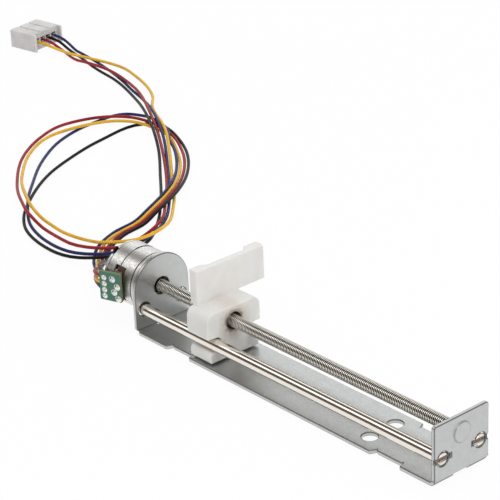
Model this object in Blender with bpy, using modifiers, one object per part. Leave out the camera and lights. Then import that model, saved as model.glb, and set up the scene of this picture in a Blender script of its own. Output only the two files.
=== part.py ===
"""Stepper motor linear slide: a bent sheet bracket carries a small can-stack stepper motor,
two guide rods and a lead screw, and the screw drives a plastic slider along the rods.

Run with: blender --background --python part.py
Units are metres, +Z up. The origin is the middle of the bracket's underside, and +X points
from the motor to the end plate.
"""
import math

import bmesh
import bpy
from mathutils import Matrix, Vector

# Clearances
SEAT_GAP = 0.0003
ROD_GAP = 0.00025

# Bracket: one strip of sheet, bent up at both ends
SHEET = 0.0010
BRACKET_LENGTH = 0.1002
BASE_WIDTH = 0.0166
BEND_INNER_RADIUS = 0.0004
END_PLATE_SETBACK = 0.0001
END_PLATE_HEIGHT = 0.0144
END_PLATE_CORNER = 0.0007
LOWER_CORNER_CHAMFER = 0.0012
CHAMFERED_CORNERS = (("motor", -1), ("motor", 1), ("end", 1))
BEND_SLOT_WIDTH = 0.0045
BEND_SLOT_TOP = 0.00105
NOTCH_SPANS = ((-0.0382, -0.0300), (0.0306, 0.0397))
NOTCH_DEPTH = 0.00127
NOTCH_RELIEF = 0.0004
BASE_HOLE_RADIUS = 0.00187
BASE_HOLE_X = 0.0263
BASE_HOLE_SPACING = 0.0078
SCREW_HOLE_RADIUS = 0.00228
PIVOT_BOSS_RADIUS = 0.00243
PIVOT_BOSS_PROUD = 0.00035
PIVOT_RECESS_DEPTH = 0.0005
STAKE_LENGTH = 0.0052
STAKE_WIDTH = 0.0011
STAKE_DEPTH = 0.0003

# Shafts
AXIS_HEIGHT = 0.01028
ROD_HEIGHT = 0.00598
ROD_SPACING = 0.0113
ROD_RADIUS = 0.0015
ROD_END_CHAMFER = 0.0002
SCREW_RADIUS = 0.0015
SCREW_END_CHAMFER = 0.0003
JOURNAL_RADIUS = 0.0009
PIVOT_BALL_RADIUS = 0.00065
PIVOT_SEAT_RADIUS = 0.0024
PIVOT_SEAT_BODY = 0.0014
PIVOT_SEAT_WALL = 0.0003

# Slider, at the place along the rods that it has at rest
SLIDER_FRONT_X = -0.0227
SLIDER_LENGTH = 0.0074
SLIDER_WIDTH = 0.0162
SLIDER_TOP = 0.0141
SLIDER_BOTTOM = 0.0015
SLIDER_SHOULDER = 0.0022
LOWER_JAW_WIDTH = 0.0148
LOWER_JAW_ROUND = 0.0009
LOWER_JAW_EDGE = 0.0004
ROD_SLOT_FLARE = 0.00012
SLIDER_SCREW_GAP = 0.0003
SLIDER_MOUTH_RADIUS = 0.0021
SLIDER_MOUTH_DEPTH = 0.0010
ARM_FRONT_SETBACK = 0.0060
ARM_THICKNESS = 0.0015
ARM_NEAR_Y = -0.0058
ARM_FAR_Y = 0.0152
ARM_TOP = 0.0227
ARM_CORNER = 0.0004
ARM_SINK = 0.0001
ARM_RIB_DEPTH = 0.0011
ARM_RIB_WIDTH = 0.0030
ARM_RIB_SLOPE = 0.0017
ARM_PAD_DEPTH = 0.00135
ARM_PAD_WIDTH = 0.0039
ARM_PAD_SLOPE = 0.0010

# Motor: a stack along the screw's axis, behind the bracket's upright plate
CAN_RADIUS = 0.0075
CAN_WALL = 0.0005
FLANGE_SETBACK = 0.0003
FLANGE_LIP = 0.0006
FLANGE_THICKNESS = 0.00145
FRONT_CUP_LENGTH = 0.0048
REAR_CUP_LENGTH = 0.0039
END_CAP_LENGTH = 0.00085
END_CAP_WALL = 0.0004
END_CAP_NOTCH_ANGLE = 120.0
END_CAP_NOTCH_WIDTH = 0.0020
CLAW_COUNT = 5
CLAW_INNER_RADIUS = 0.0030
CLAW_THICKNESS = 0.0004
CLAW_ROOT_WIDTH = 0.0019
CLAW_TIP_WIDTH = 0.0010
YOKE_THICKNESS = 0.0004
BOBBIN_WALL = 0.0004
BOBBIN_FLANGE_RADIUS = 0.0064
WINDING_INSET = 0.0003
BEARING_BODY_RADIUS = 0.0019
BEARING_COLLAR = 0.0004
SPRING_THICKNESS = 0.0002
SPRING_RING_WIDTH = 0.0014
SPRING_TONGUE_WIDTH = 0.0018
SPRING_TONGUE_HEAD = 0.0015

# Terminals: a window in the can, a block in it, and a small circuit board outside
WINDOW_FRONT = 0.0045
WINDOW_LENGTH = 0.0039
WINDOW_TOP = 0.0149
WINDOW_BOTTOM = 0.0063
WINDOW_INNER_Y = 0.0056
BOARD_WIDTH = 0.0060
BOARD_HEIGHT = 0.00755
BOARD_THICKNESS = 0.0008
BOARD_BOTTOM = 0.0069
BOARD_TURN = 18.6
BOARD_SETBACK = 0.00925
BOARD_STANDOFF = 0.0032
BOARD_CORNER = 0.0003
BLOCK_BOTTOM = 0.0066
BLOCK_TOP = 0.0140
PIN_RADIUS = 0.00025
PIN_HOLE_RADIUS = 0.00055
PIN_SOCKET_DEPTH = 0.0007
PIN_PLACES = ((0.0037, 0.0128), (0.0050, 0.01095), (0.0041, 0.0094), (0.0052, 0.0078))
WIRE_JOINT_INSET = 0.00135
WIRE_JOINT_HEIGHTS = (0.0080, 0.0096, 0.0112, 0.01285)
SOLDER_RADIUS = 0.00062
SOLDER_HEIGHT = 0.00042
SOLDER_TAPER = 0.45

# Wires, from the board to the connector: the points that each one lies through
WIRE_RADIUS = 0.00045
WIRE_LIFT = 0.00001
ROUTE_READINGS = 2
WIRE_ROUTES = {
    "blue": (
        (-0.0588, -0.00895, 0.008), (-0.0615, -0.00835, 0.008), (-0.0651, -0.007, 0.0075),
        (-0.08035, 0.00355, 0.00255), (-0.0891, 0.0095, 0.00045), (-0.09465, 0.01515, 0.00045),
        (-0.0985, 0.0233, 0.0005), (-0.10015, 0.03225, 0.0006), (-0.1018, 0.0373, 0.0014),
        (-0.1075, 0.04855, 0.00175), (-0.11685, 0.05995, 0.001), (-0.12925, 0.0696, 0.00145),
        (-0.1364, 0.07345, 0.00155), (-0.1408, 0.07695, 0.0015), (-0.15165, 0.0799, 0.00155),
        (-0.15665, 0.0806, 0.0008), (-0.16245, 0.07835, 0.0005), (-0.16385, 0.06585, 0.0005),
        (-0.15995, 0.0519, 0.0005), (-0.1521, 0.03995, 0.0005), (-0.1403, 0.0277, 0.00085),
        (-0.12825, 0.0172, 0.00155), (-0.1191, 0.01115, 0.0005), (-0.10745, 0.00775, 0.0005),
        (-0.0914, 0.00815, 0.0019), (-0.0867, 0.01135, 0.00235), (-0.08855, 0.0179, 0.0006),
        (-0.08855, 0.0209, 0.00055), (-0.0877, 0.0254, 0.00145), (-0.09285, 0.0358, 0.00115),
        (-0.1033, 0.0463, 0.00045), (-0.12175, 0.06095, 0.00065), (-0.13615, 0.07145, 0.0023),
        (-0.1515, 0.0807, 0.0026), (-0.1673, 0.08905, 0.0005), (-0.177, 0.0921, 0.0005),
        (-0.185, 0.0949, 0.00045), (-0.2172, 0.1016, 0.0005), (-0.2262, 0.1023, 0.0025),
        (-0.2291, 0.1018, 0.0029),),
    "yellow": (
        (-0.0588, -0.00895, 0.0096), (-0.0615, -0.00835, 0.0096), (-0.0656, -0.0073, 0.009),
        (-0.0691, -0.0038, 0.0077), (-0.0858, 0.00825, 0.00135), (-0.09585, 0.01925, 0.00045),
        (-0.0991, 0.03255, 0.0006), (-0.1008, 0.0377, 0.0014), (-0.10665, 0.0491, 0.0016),
        (-0.1162, 0.0607, 0.0008), (-0.12885, 0.07035, 0.0005), (-0.14355, 0.07685, 0.0005),
        (-0.15395, 0.0743, 0.0016), (-0.15895, 0.07035, 0.00155), (-0.16165, 0.0647, 0.00155),
        (-0.1634, 0.0575, 0.0014), (-0.16535, 0.0541, 0.0005), (-0.1644, 0.04975, 0.0005),
        (-0.1585, 0.0399, 0.0005), (-0.1485, 0.03015, 0.0006), (-0.13295, 0.01975, 0.0026),
        (-0.12275, 0.01565, 0.00175), (-0.119, 0.0154, 0.0006), (-0.1077, 0.01425, 0.0005),
        (-0.0986, 0.01525, 0.0009), (-0.0948, 0.01565, 0.00155), (-0.08755, 0.0226, 0.0024),
        (-0.08955, 0.0333, 0.00185), (-0.1, 0.04505, 0.00045), (-0.1178, 0.05915, 0.00045),
        (-0.13915, 0.0747, 0.00285), (-0.16085, 0.08715, 0.00115), (-0.16735, 0.09265, 0.0005),
        (-0.18575, 0.10045, 0.0005), (-0.19445, 0.1022, 0.0005), (-0.2001, 0.10145, 0.0007),
        (-0.2042, 0.0991, 0.0015), (-0.21365, 0.0959, 0.0021), (-0.2236, 0.0951, 0.0025),
        (-0.2278, 0.0944, 0.0029),),
    "red": (
        (-0.0588, -0.00895, 0.0112), (-0.0615, -0.00835, 0.0112), (-0.0656, -0.0073, 0.0106),
        (-0.0743, 0.0012, 0.0065), (-0.0849, 0.0088, 0.00145), (-0.09255, 0.0166, 0.00045),
        (-0.0963, 0.024, 0.0005), (-0.09805, 0.0328, 0.0006), (-0.0998, 0.0381, 0.0014),
        (-0.10575, 0.0497, 0.0016), (-0.11545, 0.0615, 0.0008), (-0.128, 0.0715, 0.0005),
        (-0.14455, 0.0783, 0.00045), (-0.1506, 0.0779, 0.00135), (-0.15745, 0.07595, 0.00155),
        (-0.16435, 0.06935, 0.0015), (-0.16735, 0.06675, 0.0008), (-0.1693, 0.0589, 0.0005),
        (-0.1661, 0.0492, 0.0005), (-0.15955, 0.039, 0.0005), (-0.1439, 0.0249, 0.0006),
        (-0.1283, 0.01545, 0.00255), (-0.12225, 0.0128, 0.00255), (-0.11435, 0.01195, 0.0006),
        (-0.0958, 0.0121, 0.00105), (-0.08995, 0.0142, 0.00195), (-0.08995, 0.0197, 0.0005),
        (-0.09055, 0.026, 0.0006), (-0.09145, 0.0316, 0.0016), (-0.1049, 0.0463, 0.00045),
        (-0.1305, 0.0663, 0.0016), (-0.1531, 0.08035, 0.0026), (-0.17935, 0.09345, 0.00145),
        (-0.1943, 0.0962, 0.00155), (-0.2041, 0.0954, 0.0016), (-0.20925, 0.0957, 0.00095),
        (-0.2206, 0.0979, 0.00125), (-0.2251, 0.0975, 0.0025), (-0.2283, 0.0969, 0.0029),),
    "black": (
        (-0.0588, -0.00895, 0.01285), (-0.0615, -0.0082, 0.0128), (-0.0651, -0.0064, 0.0121),
        (-0.0741, 0.002, 0.0076), (-0.0847, 0.00985, 0.0011), (-0.0918, 0.0172, 0.00045),
        (-0.0953, 0.0243, 0.0005), (-0.09705, 0.0331, 0.0006), (-0.09885, 0.0385, 0.0016),
        (-0.10485, 0.0503, 0.0017), (-0.1147, 0.0623, 0.0008), (-0.12745, 0.0725, 0.0005),
        (-0.13485, 0.0763, 0.0005), (-0.14585, 0.0799, 0.0005), (-0.1495, 0.0801, 0.0005),
        (-0.1525, 0.07685, 0.00045), (-0.1517, 0.0602, 0.0005), (-0.14745, 0.04605, 0.0005),
        (-0.14315, 0.0361, 0.0005), (-0.13245, 0.0211, 0.00045), (-0.1235, 0.0123, 0.0005),
        (-0.11765, 0.0086, 0.0005), (-0.10655, 0.0055, 0.0005), (-0.0907, 0.0057, 0.0019),
        (-0.08465, 0.00945, 0.00275), (-0.0864, 0.0169, 0.00075), (-0.0863, 0.0195, 0.00045),
        (-0.08775, 0.02615, 0.00045), (-0.0934, 0.03365, 0.00045), (-0.1068, 0.04625, 0.0005),
        (-0.1186, 0.0557, 0.0005), (-0.13235, 0.0663, 0.0017), (-0.13965, 0.071, 0.0026),
        (-0.15515, 0.0801, 0.0024), (-0.1716, 0.0885, 0.0007), (-0.18725, 0.09375, 0.0005),
        (-0.1979, 0.0955, 0.0005), (-0.2191, 0.1, 0.0009), (-0.2246, 0.1001, 0.0023),
        (-0.2287, 0.0993, 0.0029),),
}

# Connector on the wires' far end, with a crimped contact in each cavity
CONNECTOR_PLACE = (-0.2336, 0.0972)
CONNECTOR_TURN = 10.0
CONNECTOR_LENGTH = 0.0098
CONNECTOR_WIDTH = 0.0124
CONNECTOR_HEIGHT = 0.00575
CONNECTOR_PITCH = 0.0025
CONNECTOR_CORNER = 0.0004
CONNECTOR_SIDE_WALL = 0.0007
CONNECTOR_SIDE_REACH = 0.0016
CONNECTOR_GROOVE_WIDTH = 0.0007
CONNECTOR_GROOVE_DEPTH = 0.00045
CONNECTOR_GROOVE_SPACING = 0.0042
CAVITY_SIZE = 0.0019
CAVITY_HEIGHT = 0.0029
CONTACT_INSET = 0.0012
CONTACT_LENGTH = 0.0045
CONTACT_BORE = 0.0007
CONTACT_BORE_DEPTH = 0.0032
CRIMP_RADIUS = 0.00055

# Smoothness of round pieces
CAN_STEPS = 48
SMALL_STEPS = 24
PIN_STEPS = 12
ARC_STEPS = 6

# Sizes that follow from the ones above
PLATE_FRONT_X = -BRACKET_LENGTH / 2 + SHEET
PLATE_BACK_X = -BRACKET_LENGTH / 2
END_INNER_X = BRACKET_LENGTH / 2 - SHEET
END_OUTER_X = BRACKET_LENGTH / 2
END_PLATE_WIDTH = BASE_WIDTH - 2 * END_PLATE_SETBACK
ROD_HOLE_RADIUS = ROD_RADIUS + ROD_GAP
FLANGE_FRONT_X = PLATE_BACK_X - SEAT_GAP
FLANGE_BACK_X = FLANGE_FRONT_X - FLANGE_THICKNESS
FLANGE_RADIUS = BASE_WIDTH / 2 - FLANGE_SETBACK
FRONT_CUP_X = FLANGE_BACK_X - SEAT_GAP
CUP_SPLIT_X = FRONT_CUP_X - FRONT_CUP_LENGTH - SEAT_GAP / 2
REAR_CUP_X = CUP_SPLIT_X - SEAT_GAP / 2 - REAR_CUP_LENGTH
END_CAP_X = REAR_CUP_X - SEAT_GAP
MOTOR_REAR_X = END_CAP_X - END_CAP_LENGTH
PIVOT_SEAT_FRONT_X = END_INNER_X - SEAT_GAP - PIVOT_SEAT_BODY
PIVOT_POCKET_RADIUS = PIVOT_BALL_RADIUS + SEAT_GAP
CLAW_OUTER_RADIUS = CLAW_INNER_RADIUS + CLAW_THICKNESS
BUSH_BORE = JOURNAL_RADIUS + SEAT_GAP
BUSH_COLLAR_RADIUS = CLAW_INNER_RADIUS - SEAT_GAP
SPRING_BACK_X = MOTOR_REAR_X + END_CAP_WALL + SEAT_GAP
SHAFT_REAR_X = SPRING_BACK_X + SPRING_THICKNESS + SEAT_GAP
BOARD_REAR_X = FLANGE_FRONT_X - BOARD_SETBACK
BOARD_REAR_Y = -(CAN_RADIUS + BOARD_STANDOFF)
MARGIN = 0.002

COLOURS = {
    "zinc_sheet": ((0.50, 0.505, 0.495), 0.42, 0.85),
    "drawn_steel": ((0.60, 0.60, 0.59), 0.38, 0.85),
    "polished_steel": ((0.62, 0.61, 0.60), 0.14, 1.0),
    "screw_steel": ((0.33, 0.30, 0.27), 0.30, 1.0),
    "spring_steel": ((0.55, 0.55, 0.55), 0.30, 1.0),
    "white_acetal": ((0.76, 0.75, 0.72), 0.48, 0.0),
    "black_magnet": ((0.04, 0.04, 0.045), 0.60, 0.0),
    "bronze": ((0.55, 0.38, 0.18), 0.45, 1.0),
    "bobbin_resin": ((0.16, 0.12, 0.09), 0.50, 0.0),
    "copper": ((0.62, 0.28, 0.13), 0.35, 0.9),
    "green_laminate": ((0.07, 0.23, 0.16), 0.45, 0.0),
    "solder": ((0.70, 0.71, 0.71), 0.25, 1.0),
    "yellow_insulation": ((0.68, 0.38, 0.02), 0.40, 0.0),
    "red_insulation": ((0.38, 0.02, 0.03), 0.40, 0.0),
    "blue_insulation": ((0.035, 0.045, 0.16), 0.40, 0.0),
    "black_insulation": ((0.02, 0.02, 0.02), 0.40, 0.0),
    "connector_nylon": ((0.68, 0.67, 0.65), 0.50, 0.0),
    "tinned_brass": ((0.66, 0.64, 0.58), 0.28, 1.0),
}

# Ways to lay a flat outline: as seen from above, from the side, and along the slide
PLAN = Matrix.Identity(4)
SIDE = Matrix(((1, 0, 0, 0), (0, 0, -1, 0), (0, 1, 0, 0), (0, 0, 0, 1)))
ENDWISE = Matrix(((0, 0, 1, 0), (1, 0, 0, 0), (0, 1, 0, 0), (0, 0, 0, 1)))

parts = None
cutters = None


def start_scene():
    """Empty the scene and make the two collections."""
    global parts, cutters
    for obj in list(bpy.data.objects):
        bpy.data.objects.remove(obj, do_unlink=True)
    parts = bpy.data.collections.new("stepper_linear_slide")
    cutters = bpy.data.collections.new("cutters")
    bpy.context.scene.collection.children.link(parts)
    bpy.context.scene.collection.children.link(cutters)


def material(name):
    """The named finish, made once."""
    found = bpy.data.materials.get(name)
    if found:
        return found
    colour, roughness, metallic = COLOURS[name]
    made = bpy.data.materials.new(name)
    made.use_nodes = True
    shader = made.node_tree.nodes["Principled BSDF"]
    shader.inputs["Base Color"].default_value = (*colour, 1.0)
    shader.inputs["Roughness"].default_value = roughness
    shader.inputs["Metallic"].default_value = metallic
    made.diffuse_color = (*colour, 1.0)
    return made


def add_object(name, mesh, place=None, finish=None):
    """Link a mesh as a part, or as a cutter when it has no finish."""
    obj = bpy.data.objects.new(name, mesh)
    if place is not None:
        obj.matrix_world = place
    if finish is None:
        cutters.objects.link(obj)
        obj.hide_render = True
        obj.display_type = "WIRE"
    else:
        parts.objects.link(obj)
        mesh.materials.append(material(finish))
    return obj


def smooth(obj, angle=35.0):
    """Shade round surfaces smooth and keep the sharp corners."""
    obj.data.shade_smooth()
    obj.data.set_sharp_from_angle(angle=math.radians(angle))


def rounded(corners, steps=ARC_STEPS):
    """Turn (x, y) or (x, y, radius) corners into outline points, with an arc at each radius."""
    points = []
    for index, corner in enumerate(corners):
        here = Vector(corner[:2])
        radius = corner[2] if len(corner) > 2 else 0.0
        if radius == 0.0:
            points.append(here)
            continue
        back = (Vector(corners[index - 1][:2]) - here).normalized()
        ahead = (Vector(corners[(index + 1) % len(corners)][:2]) - here).normalized()
        half = back.angle(ahead) / 2
        centre = here + (back + ahead).normalized() * (radius / math.sin(half))
        first = here + back * (radius / math.tan(half)) - centre
        last = here + ahead * (radius / math.tan(half)) - centre
        turn = first.angle_signed(last)
        for step in range(steps + 1):
            angle = -turn * step / steps
            points.append(centre + Matrix.Rotation(angle, 2) @ first)
    return points


def arc(centre, radius, start, end, steps):
    """Points on a circle from one angle to another, in degrees."""
    points = []
    for step in range(steps + 1):
        angle = math.radians(start + (end - start) * step / steps)
        points.append(Vector((centre[0] + radius * math.cos(angle), centre[1] + radius * math.sin(angle))))
    return points


def flat_mesh(name, outlines, thickness):
    """A flat outline, holes and all, as a closed mesh of the given thickness about z = 0."""
    curve = bpy.data.curves.new(name, "CURVE")
    curve.dimensions = "2D"
    curve.fill_mode = "BOTH"
    curve.extrude = thickness / 2
    for outline in outlines:
        spline = curve.splines.new("POLY")
        spline.points.add(len(outline) - 1)
        for point, place in zip(spline.points, outline):
            point.co = (place[0], place[1], 0.0, 1.0)
        spline.use_cyclic_u = True
    return curve_to_mesh(name, curve)


def curve_to_mesh(name, curve):
    """Read a curve's solid as a welded mesh."""
    holder = bpy.data.objects.new(name + "_curve", curve)
    bpy.context.scene.collection.objects.link(holder)
    depsgraph = bpy.context.evaluated_depsgraph_get()
    mesh = bpy.data.meshes.new_from_object(holder.evaluated_get(depsgraph))
    mesh.name = name
    bpy.data.objects.remove(holder, do_unlink=True)
    work = bmesh.new()
    work.from_mesh(mesh)
    bmesh.ops.remove_doubles(work, verts=work.verts, dist=0.000001)
    bmesh.ops.recalc_face_normals(work, faces=work.faces)
    work.to_mesh(mesh)
    work.free()
    return mesh


def flat_solid(name, outlines, low, high, view=PLAN, finish=None):
    """A flat outline between two planes: heights in PLAN, X in ENDWISE, -Y in SIDE."""
    mesh = flat_mesh(name, outlines, high - low)
    return add_object(name, mesh, view @ Matrix.Translation((0, 0, (low + high) / 2)), finish)


def box(name, low, high, finish=None):
    """A box between two corners."""
    mesh = bpy.data.meshes.new(name)
    work = bmesh.new()
    size = Vector(high) - Vector(low)
    middle = (Vector(high) + Vector(low)) / 2
    bmesh.ops.create_cube(work, size=1.0)
    bmesh.ops.scale(work, vec=size, verts=work.verts)
    work.to_mesh(mesh)
    work.free()
    return add_object(name, mesh, Matrix.Translation(middle), finish)


def round_bar(name, radius, low_x, high_x, y, z, steps=SMALL_STEPS, chamfer=0.0, finish=None):
    """A straight round bar along X."""
    mesh = bpy.data.meshes.new(name)
    work = bmesh.new()
    bmesh.ops.create_cone(work, cap_ends=True, segments=steps, radius1=radius, radius2=radius,
                          depth=high_x - low_x)
    if chamfer > 0.0:
        rims = [edge for edge in work.edges if edge.verts[0].co.z * edge.verts[1].co.z > 0.0]
        bmesh.ops.bevel(work, geom=rims, offset=chamfer, segments=1, profile=0.5,
                        affect="EDGES", material=-1)
    work.to_mesh(mesh)
    work.free()
    place = Matrix.Translation(((low_x + high_x) / 2, y, z)) @ Matrix.Rotation(math.pi / 2, 4, "Y")
    obj = add_object(name, mesh, place, finish)
    smooth(obj)
    return obj


def turned(name, profile, steps=SMALL_STEPS, closed=True, finish=None):
    """A turned piece on the motor's axis. The profile is (x, radius) and runs down its outer side,
    from the end plate's side towards the motor's rear."""
    mesh = bpy.data.meshes.new(name)
    work = bmesh.new()
    points = [work.verts.new((radius, 0.0, x)) for x, radius in profile]
    for first, second in zip(points, points[1:]):
        work.edges.new((first, second))
    if closed:
        work.edges.new((points[-1], points[0]))
    work.to_mesh(mesh)
    work.free()
    place = Matrix.Translation((0, 0, AXIS_HEIGHT)) @ Matrix.Rotation(math.pi / 2, 4, "Y")
    obj = add_object(name, mesh, place, finish)
    screw = obj.modifiers.new("turn", "SCREW")
    screw.axis = "Z"
    screw.angle = math.tau
    screw.steps = steps
    screw.render_steps = steps
    screw.use_merge_vertices = True
    screw.merge_threshold = 0.00001
    return obj


def apply_all(obj):
    """Keep the evaluated mesh in place of the modifiers."""
    depsgraph = bpy.context.evaluated_depsgraph_get()
    mesh = bpy.data.meshes.new_from_object(obj.evaluated_get(depsgraph))
    obj.modifiers.clear()
    obj.data = mesh
    return obj


def boolean(obj, other, operation):
    """Join or cut one object with another."""
    step = obj.modifiers.new(operation.lower(), "BOOLEAN")
    step.operation = operation
    step.solver = "EXACT"
    step.object = other


def cut(obj, *others):
    """Cut an object with each of the others in turn."""
    for other in others:
        boolean(obj, other, "DIFFERENCE")


def join_meshes(name, objects, finish=None):
    """Gather separate solids in one object."""
    work = bmesh.new()
    depsgraph = bpy.context.evaluated_depsgraph_get()
    for obj in objects:
        mesh = bpy.data.meshes.new_from_object(obj.evaluated_get(depsgraph))
        mesh.transform(obj.matrix_world)
        work.from_mesh(mesh)
        bpy.data.meshes.remove(mesh)
    mesh = bpy.data.meshes.new(name)
    work.to_mesh(mesh)
    work.free()
    mesh.materials.clear()
    for obj in objects:
        bpy.data.objects.remove(obj, do_unlink=True)
    return add_object(name, mesh, None, finish)


def frame_cutter(name, half_width, top, bottom, corner, low_x, high_x):
    """An arch that trims an upright plate to its width, height and corner radius."""
    outside = half_width + MARGIN
    outline = rounded([(-outside, bottom), (-half_width, bottom), (-half_width, top, corner),
                       (half_width, top, corner), (half_width, bottom), (outside, bottom),
                       (outside, top + MARGIN), (-outside, top + MARGIN)])
    return flat_solid(name, [outline], low_x, high_x, ENDWISE)


def bracket_blank():
    """The bent strip, seen from the side, across its full width."""
    bend_outer = BEND_INNER_RADIUS + SHEET
    motor_top = AXIS_HEIGHT + BASE_WIDTH / 2 + MARGIN / 2
    end_top = END_PLATE_HEIGHT + MARGIN / 2
    strip = rounded([
        (PLATE_BACK_X, motor_top), (PLATE_BACK_X, 0.0, bend_outer),
        (END_OUTER_X, 0.0, bend_outer), (END_OUTER_X, end_top), (END_INNER_X, end_top),
        (END_INNER_X, SHEET, BEND_INNER_RADIUS), (PLATE_FRONT_X, SHEET, BEND_INNER_RADIUS),
        (PLATE_FRONT_X, motor_top)])
    return flat_solid("bracket", [strip], -BASE_WIDTH / 2, BASE_WIDTH / 2, SIDE, "zinc_sheet")


def notch_cutters():
    """The four cut-outs in the base's long edges, with a small relief in each inner corner."""
    half = BASE_WIDTH / 2
    inner = half - NOTCH_DEPTH
    relief = inner - NOTCH_RELIEF
    made = []
    for number, (low, high) in enumerate(NOTCH_SPANS):
        for side in (-1, 1):
            outline = [(low - NOTCH_RELIEF, side * (half + MARGIN)), (low, side * half),
                       (low + NOTCH_RELIEF * 1.5, side * inner), (low + NOTCH_RELIEF * 2, side * relief),
                       (low + NOTCH_RELIEF * 3, side * inner), (high - NOTCH_RELIEF * 2, side * inner),
                       (high - NOTCH_RELIEF, side * relief), (high - NOTCH_RELIEF / 2, side * inner),
                       (high, side * half), (high + NOTCH_RELIEF, side * (half + MARGIN))]
            name = "notch_%d_%s" % (number, "near" if side < 0 else "far")
            made.append(flat_solid(name, [[Vector(point) for point in outline]],
                                   -MARGIN, SHEET + MARGIN))
    return made


def bend_slot_cutters():
    """A slot through each bend, and the chamfers at the bends' outer corners."""
    made = []
    for end, low, high in (("motor", PLATE_BACK_X - MARGIN, PLATE_FRONT_X + SHEET / 2),
                           ("end", END_INNER_X - SHEET / 2, END_OUTER_X + MARGIN)):
        made.append(box("slot_" + end, (low, -BEND_SLOT_WIDTH / 2, -MARGIN),
                        (high, BEND_SLOT_WIDTH / 2, BEND_SLOT_TOP)))
        for side in (-1, 1):
            if (end, side) not in CHAMFERED_CORNERS:
                continue
            edge = side * BASE_WIDTH / 2
            inside = side * (BASE_WIDTH / 2 - LOWER_CORNER_CHAMFER)
            outline = [(edge + side * MARGIN, -MARGIN), (inside - side * MARGIN, -MARGIN),
                       (edge + side * MARGIN, LOWER_CORNER_CHAMFER + MARGIN)]
            chamfer = flat_solid("%s_chamfer_%s" % (end, "near" if side < 0 else "far"),
                                 [[Vector(point) for point in outline]], low, high, ENDWISE)
            made.append(chamfer)
    return made


def rod_sides():
    """The two rods' names and places across the slide."""
    return (("near", -ROD_SPACING / 2), ("far", ROD_SPACING / 2))


def stake_cutter(name, y):
    """The staking groove pressed across a rod's end and the plate round it."""
    return box(name, (END_OUTER_X - STAKE_DEPTH, y - STAKE_LENGTH / 2, ROD_HEIGHT - STAKE_WIDTH / 2),
               (END_OUTER_X + MARGIN, y + STAKE_LENGTH / 2, ROD_HEIGHT + STAKE_WIDTH / 2))


def make_bracket():
    """The sheet bracket, with its holes, notches and the pivot's half-sheared boss."""
    bracket = bracket_blank()
    boss = round_bar("pivot_boss", PIVOT_BOSS_RADIUS, END_OUTER_X - SHEET / 2,
                     END_OUTER_X + PIVOT_BOSS_PROUD, 0.0, AXIS_HEIGHT, SMALL_STEPS)
    boolean(bracket, boss, "UNION")
    half = BASE_WIDTH / 2
    outside = half + MARGIN
    crown = [Vector((-outside, AXIS_HEIGHT))] + arc((0.0, AXIS_HEIGHT), half, 180, 0, CAN_STEPS // 2)
    crown += [Vector((outside, AXIS_HEIGHT)), Vector((outside, AXIS_HEIGHT + outside)),
              Vector((-outside, AXIS_HEIGHT + outside))]
    cut(bracket,
        flat_solid("crown_trim", [crown], PLATE_BACK_X - MARGIN, PLATE_FRONT_X + MARGIN, ENDWISE),
        frame_cutter("end_trim", END_PLATE_WIDTH / 2, END_PLATE_HEIGHT, SHEET + BEND_INNER_RADIUS,
                     END_PLATE_CORNER, END_INNER_X - MARGIN, END_OUTER_X + MARGIN),
        round_bar("screw_hole", SCREW_HOLE_RADIUS, PLATE_BACK_X - MARGIN, PLATE_FRONT_X + MARGIN,
                  0.0, AXIS_HEIGHT),
        round_bar("pivot_recess", PIVOT_SEAT_RADIUS, END_INNER_X - MARGIN, END_INNER_X + PIVOT_RECESS_DEPTH,
                  0.0, AXIS_HEIGHT))
    for side, y in rod_sides():
        for end, low, high in (("motor", PLATE_BACK_X, PLATE_FRONT_X), ("end", END_INNER_X, END_OUTER_X)):
            cut(bracket, round_bar("rod_hole_%s_%s" % (end, side), ROD_HOLE_RADIUS, low - MARGIN,
                                   high + MARGIN, y, ROD_HEIGHT))
        cut(bracket, stake_cutter("stake_" + side, y))
    for side in (-1, 1):
        hole = arc((BASE_HOLE_X, side * BASE_HOLE_SPACING / 2), BASE_HOLE_RADIUS, 0, 360 - 360 / SMALL_STEPS,
                   SMALL_STEPS - 1)
        cut(bracket, flat_solid("base_hole_%s" % ("near" if side < 0 else "far"), [hole],
                                -MARGIN, SHEET + MARGIN))
    cut(bracket, *notch_cutters())
    cut(bracket, *bend_slot_cutters())
    smooth(apply_all(bracket), 30.0)


def make_rods():
    """Two ground steel rods, held in both upright plates."""
    for side, y in rod_sides():
        rod = round_bar("guide_rod_" + side, ROD_RADIUS, PLATE_BACK_X, END_OUTER_X, y, ROD_HEIGHT,
                        SMALL_STEPS, ROD_END_CHAMFER, "polished_steel")
        cut(rod, stake_cutter("rod_groove_" + side, y))
        smooth(apply_all(rod))


def make_lead_screw():
    """The screw's core at its crest radius, with the motor shaft turned on one end and a
    pocket for the pivot ball in the other."""
    end_x = PIVOT_SEAT_FRONT_X - SEAT_GAP
    pocket_x = pivot_ball_x() - PIVOT_BALL_RADIUS - SEAT_GAP
    shoulder_x = PLATE_BACK_X + SHEET / 2
    profile = [(pocket_x, 0.0), (pocket_x, PIVOT_POCKET_RADIUS), (end_x, PIVOT_POCKET_RADIUS),
               (end_x, SCREW_RADIUS - SCREW_END_CHAMFER), (end_x - SCREW_END_CHAMFER, SCREW_RADIUS),
               (shoulder_x + SCREW_END_CHAMFER, SCREW_RADIUS), (shoulder_x, SCREW_RADIUS - SCREW_END_CHAMFER),
               (shoulder_x, JOURNAL_RADIUS), (SHAFT_REAR_X + SCREW_END_CHAMFER, JOURNAL_RADIUS),
               (SHAFT_REAR_X, JOURNAL_RADIUS - SCREW_END_CHAMFER), (SHAFT_REAR_X, 0.0)]
    smooth(apply_all(turned("lead_screw", profile, closed=False, finish="screw_steel")))


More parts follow.
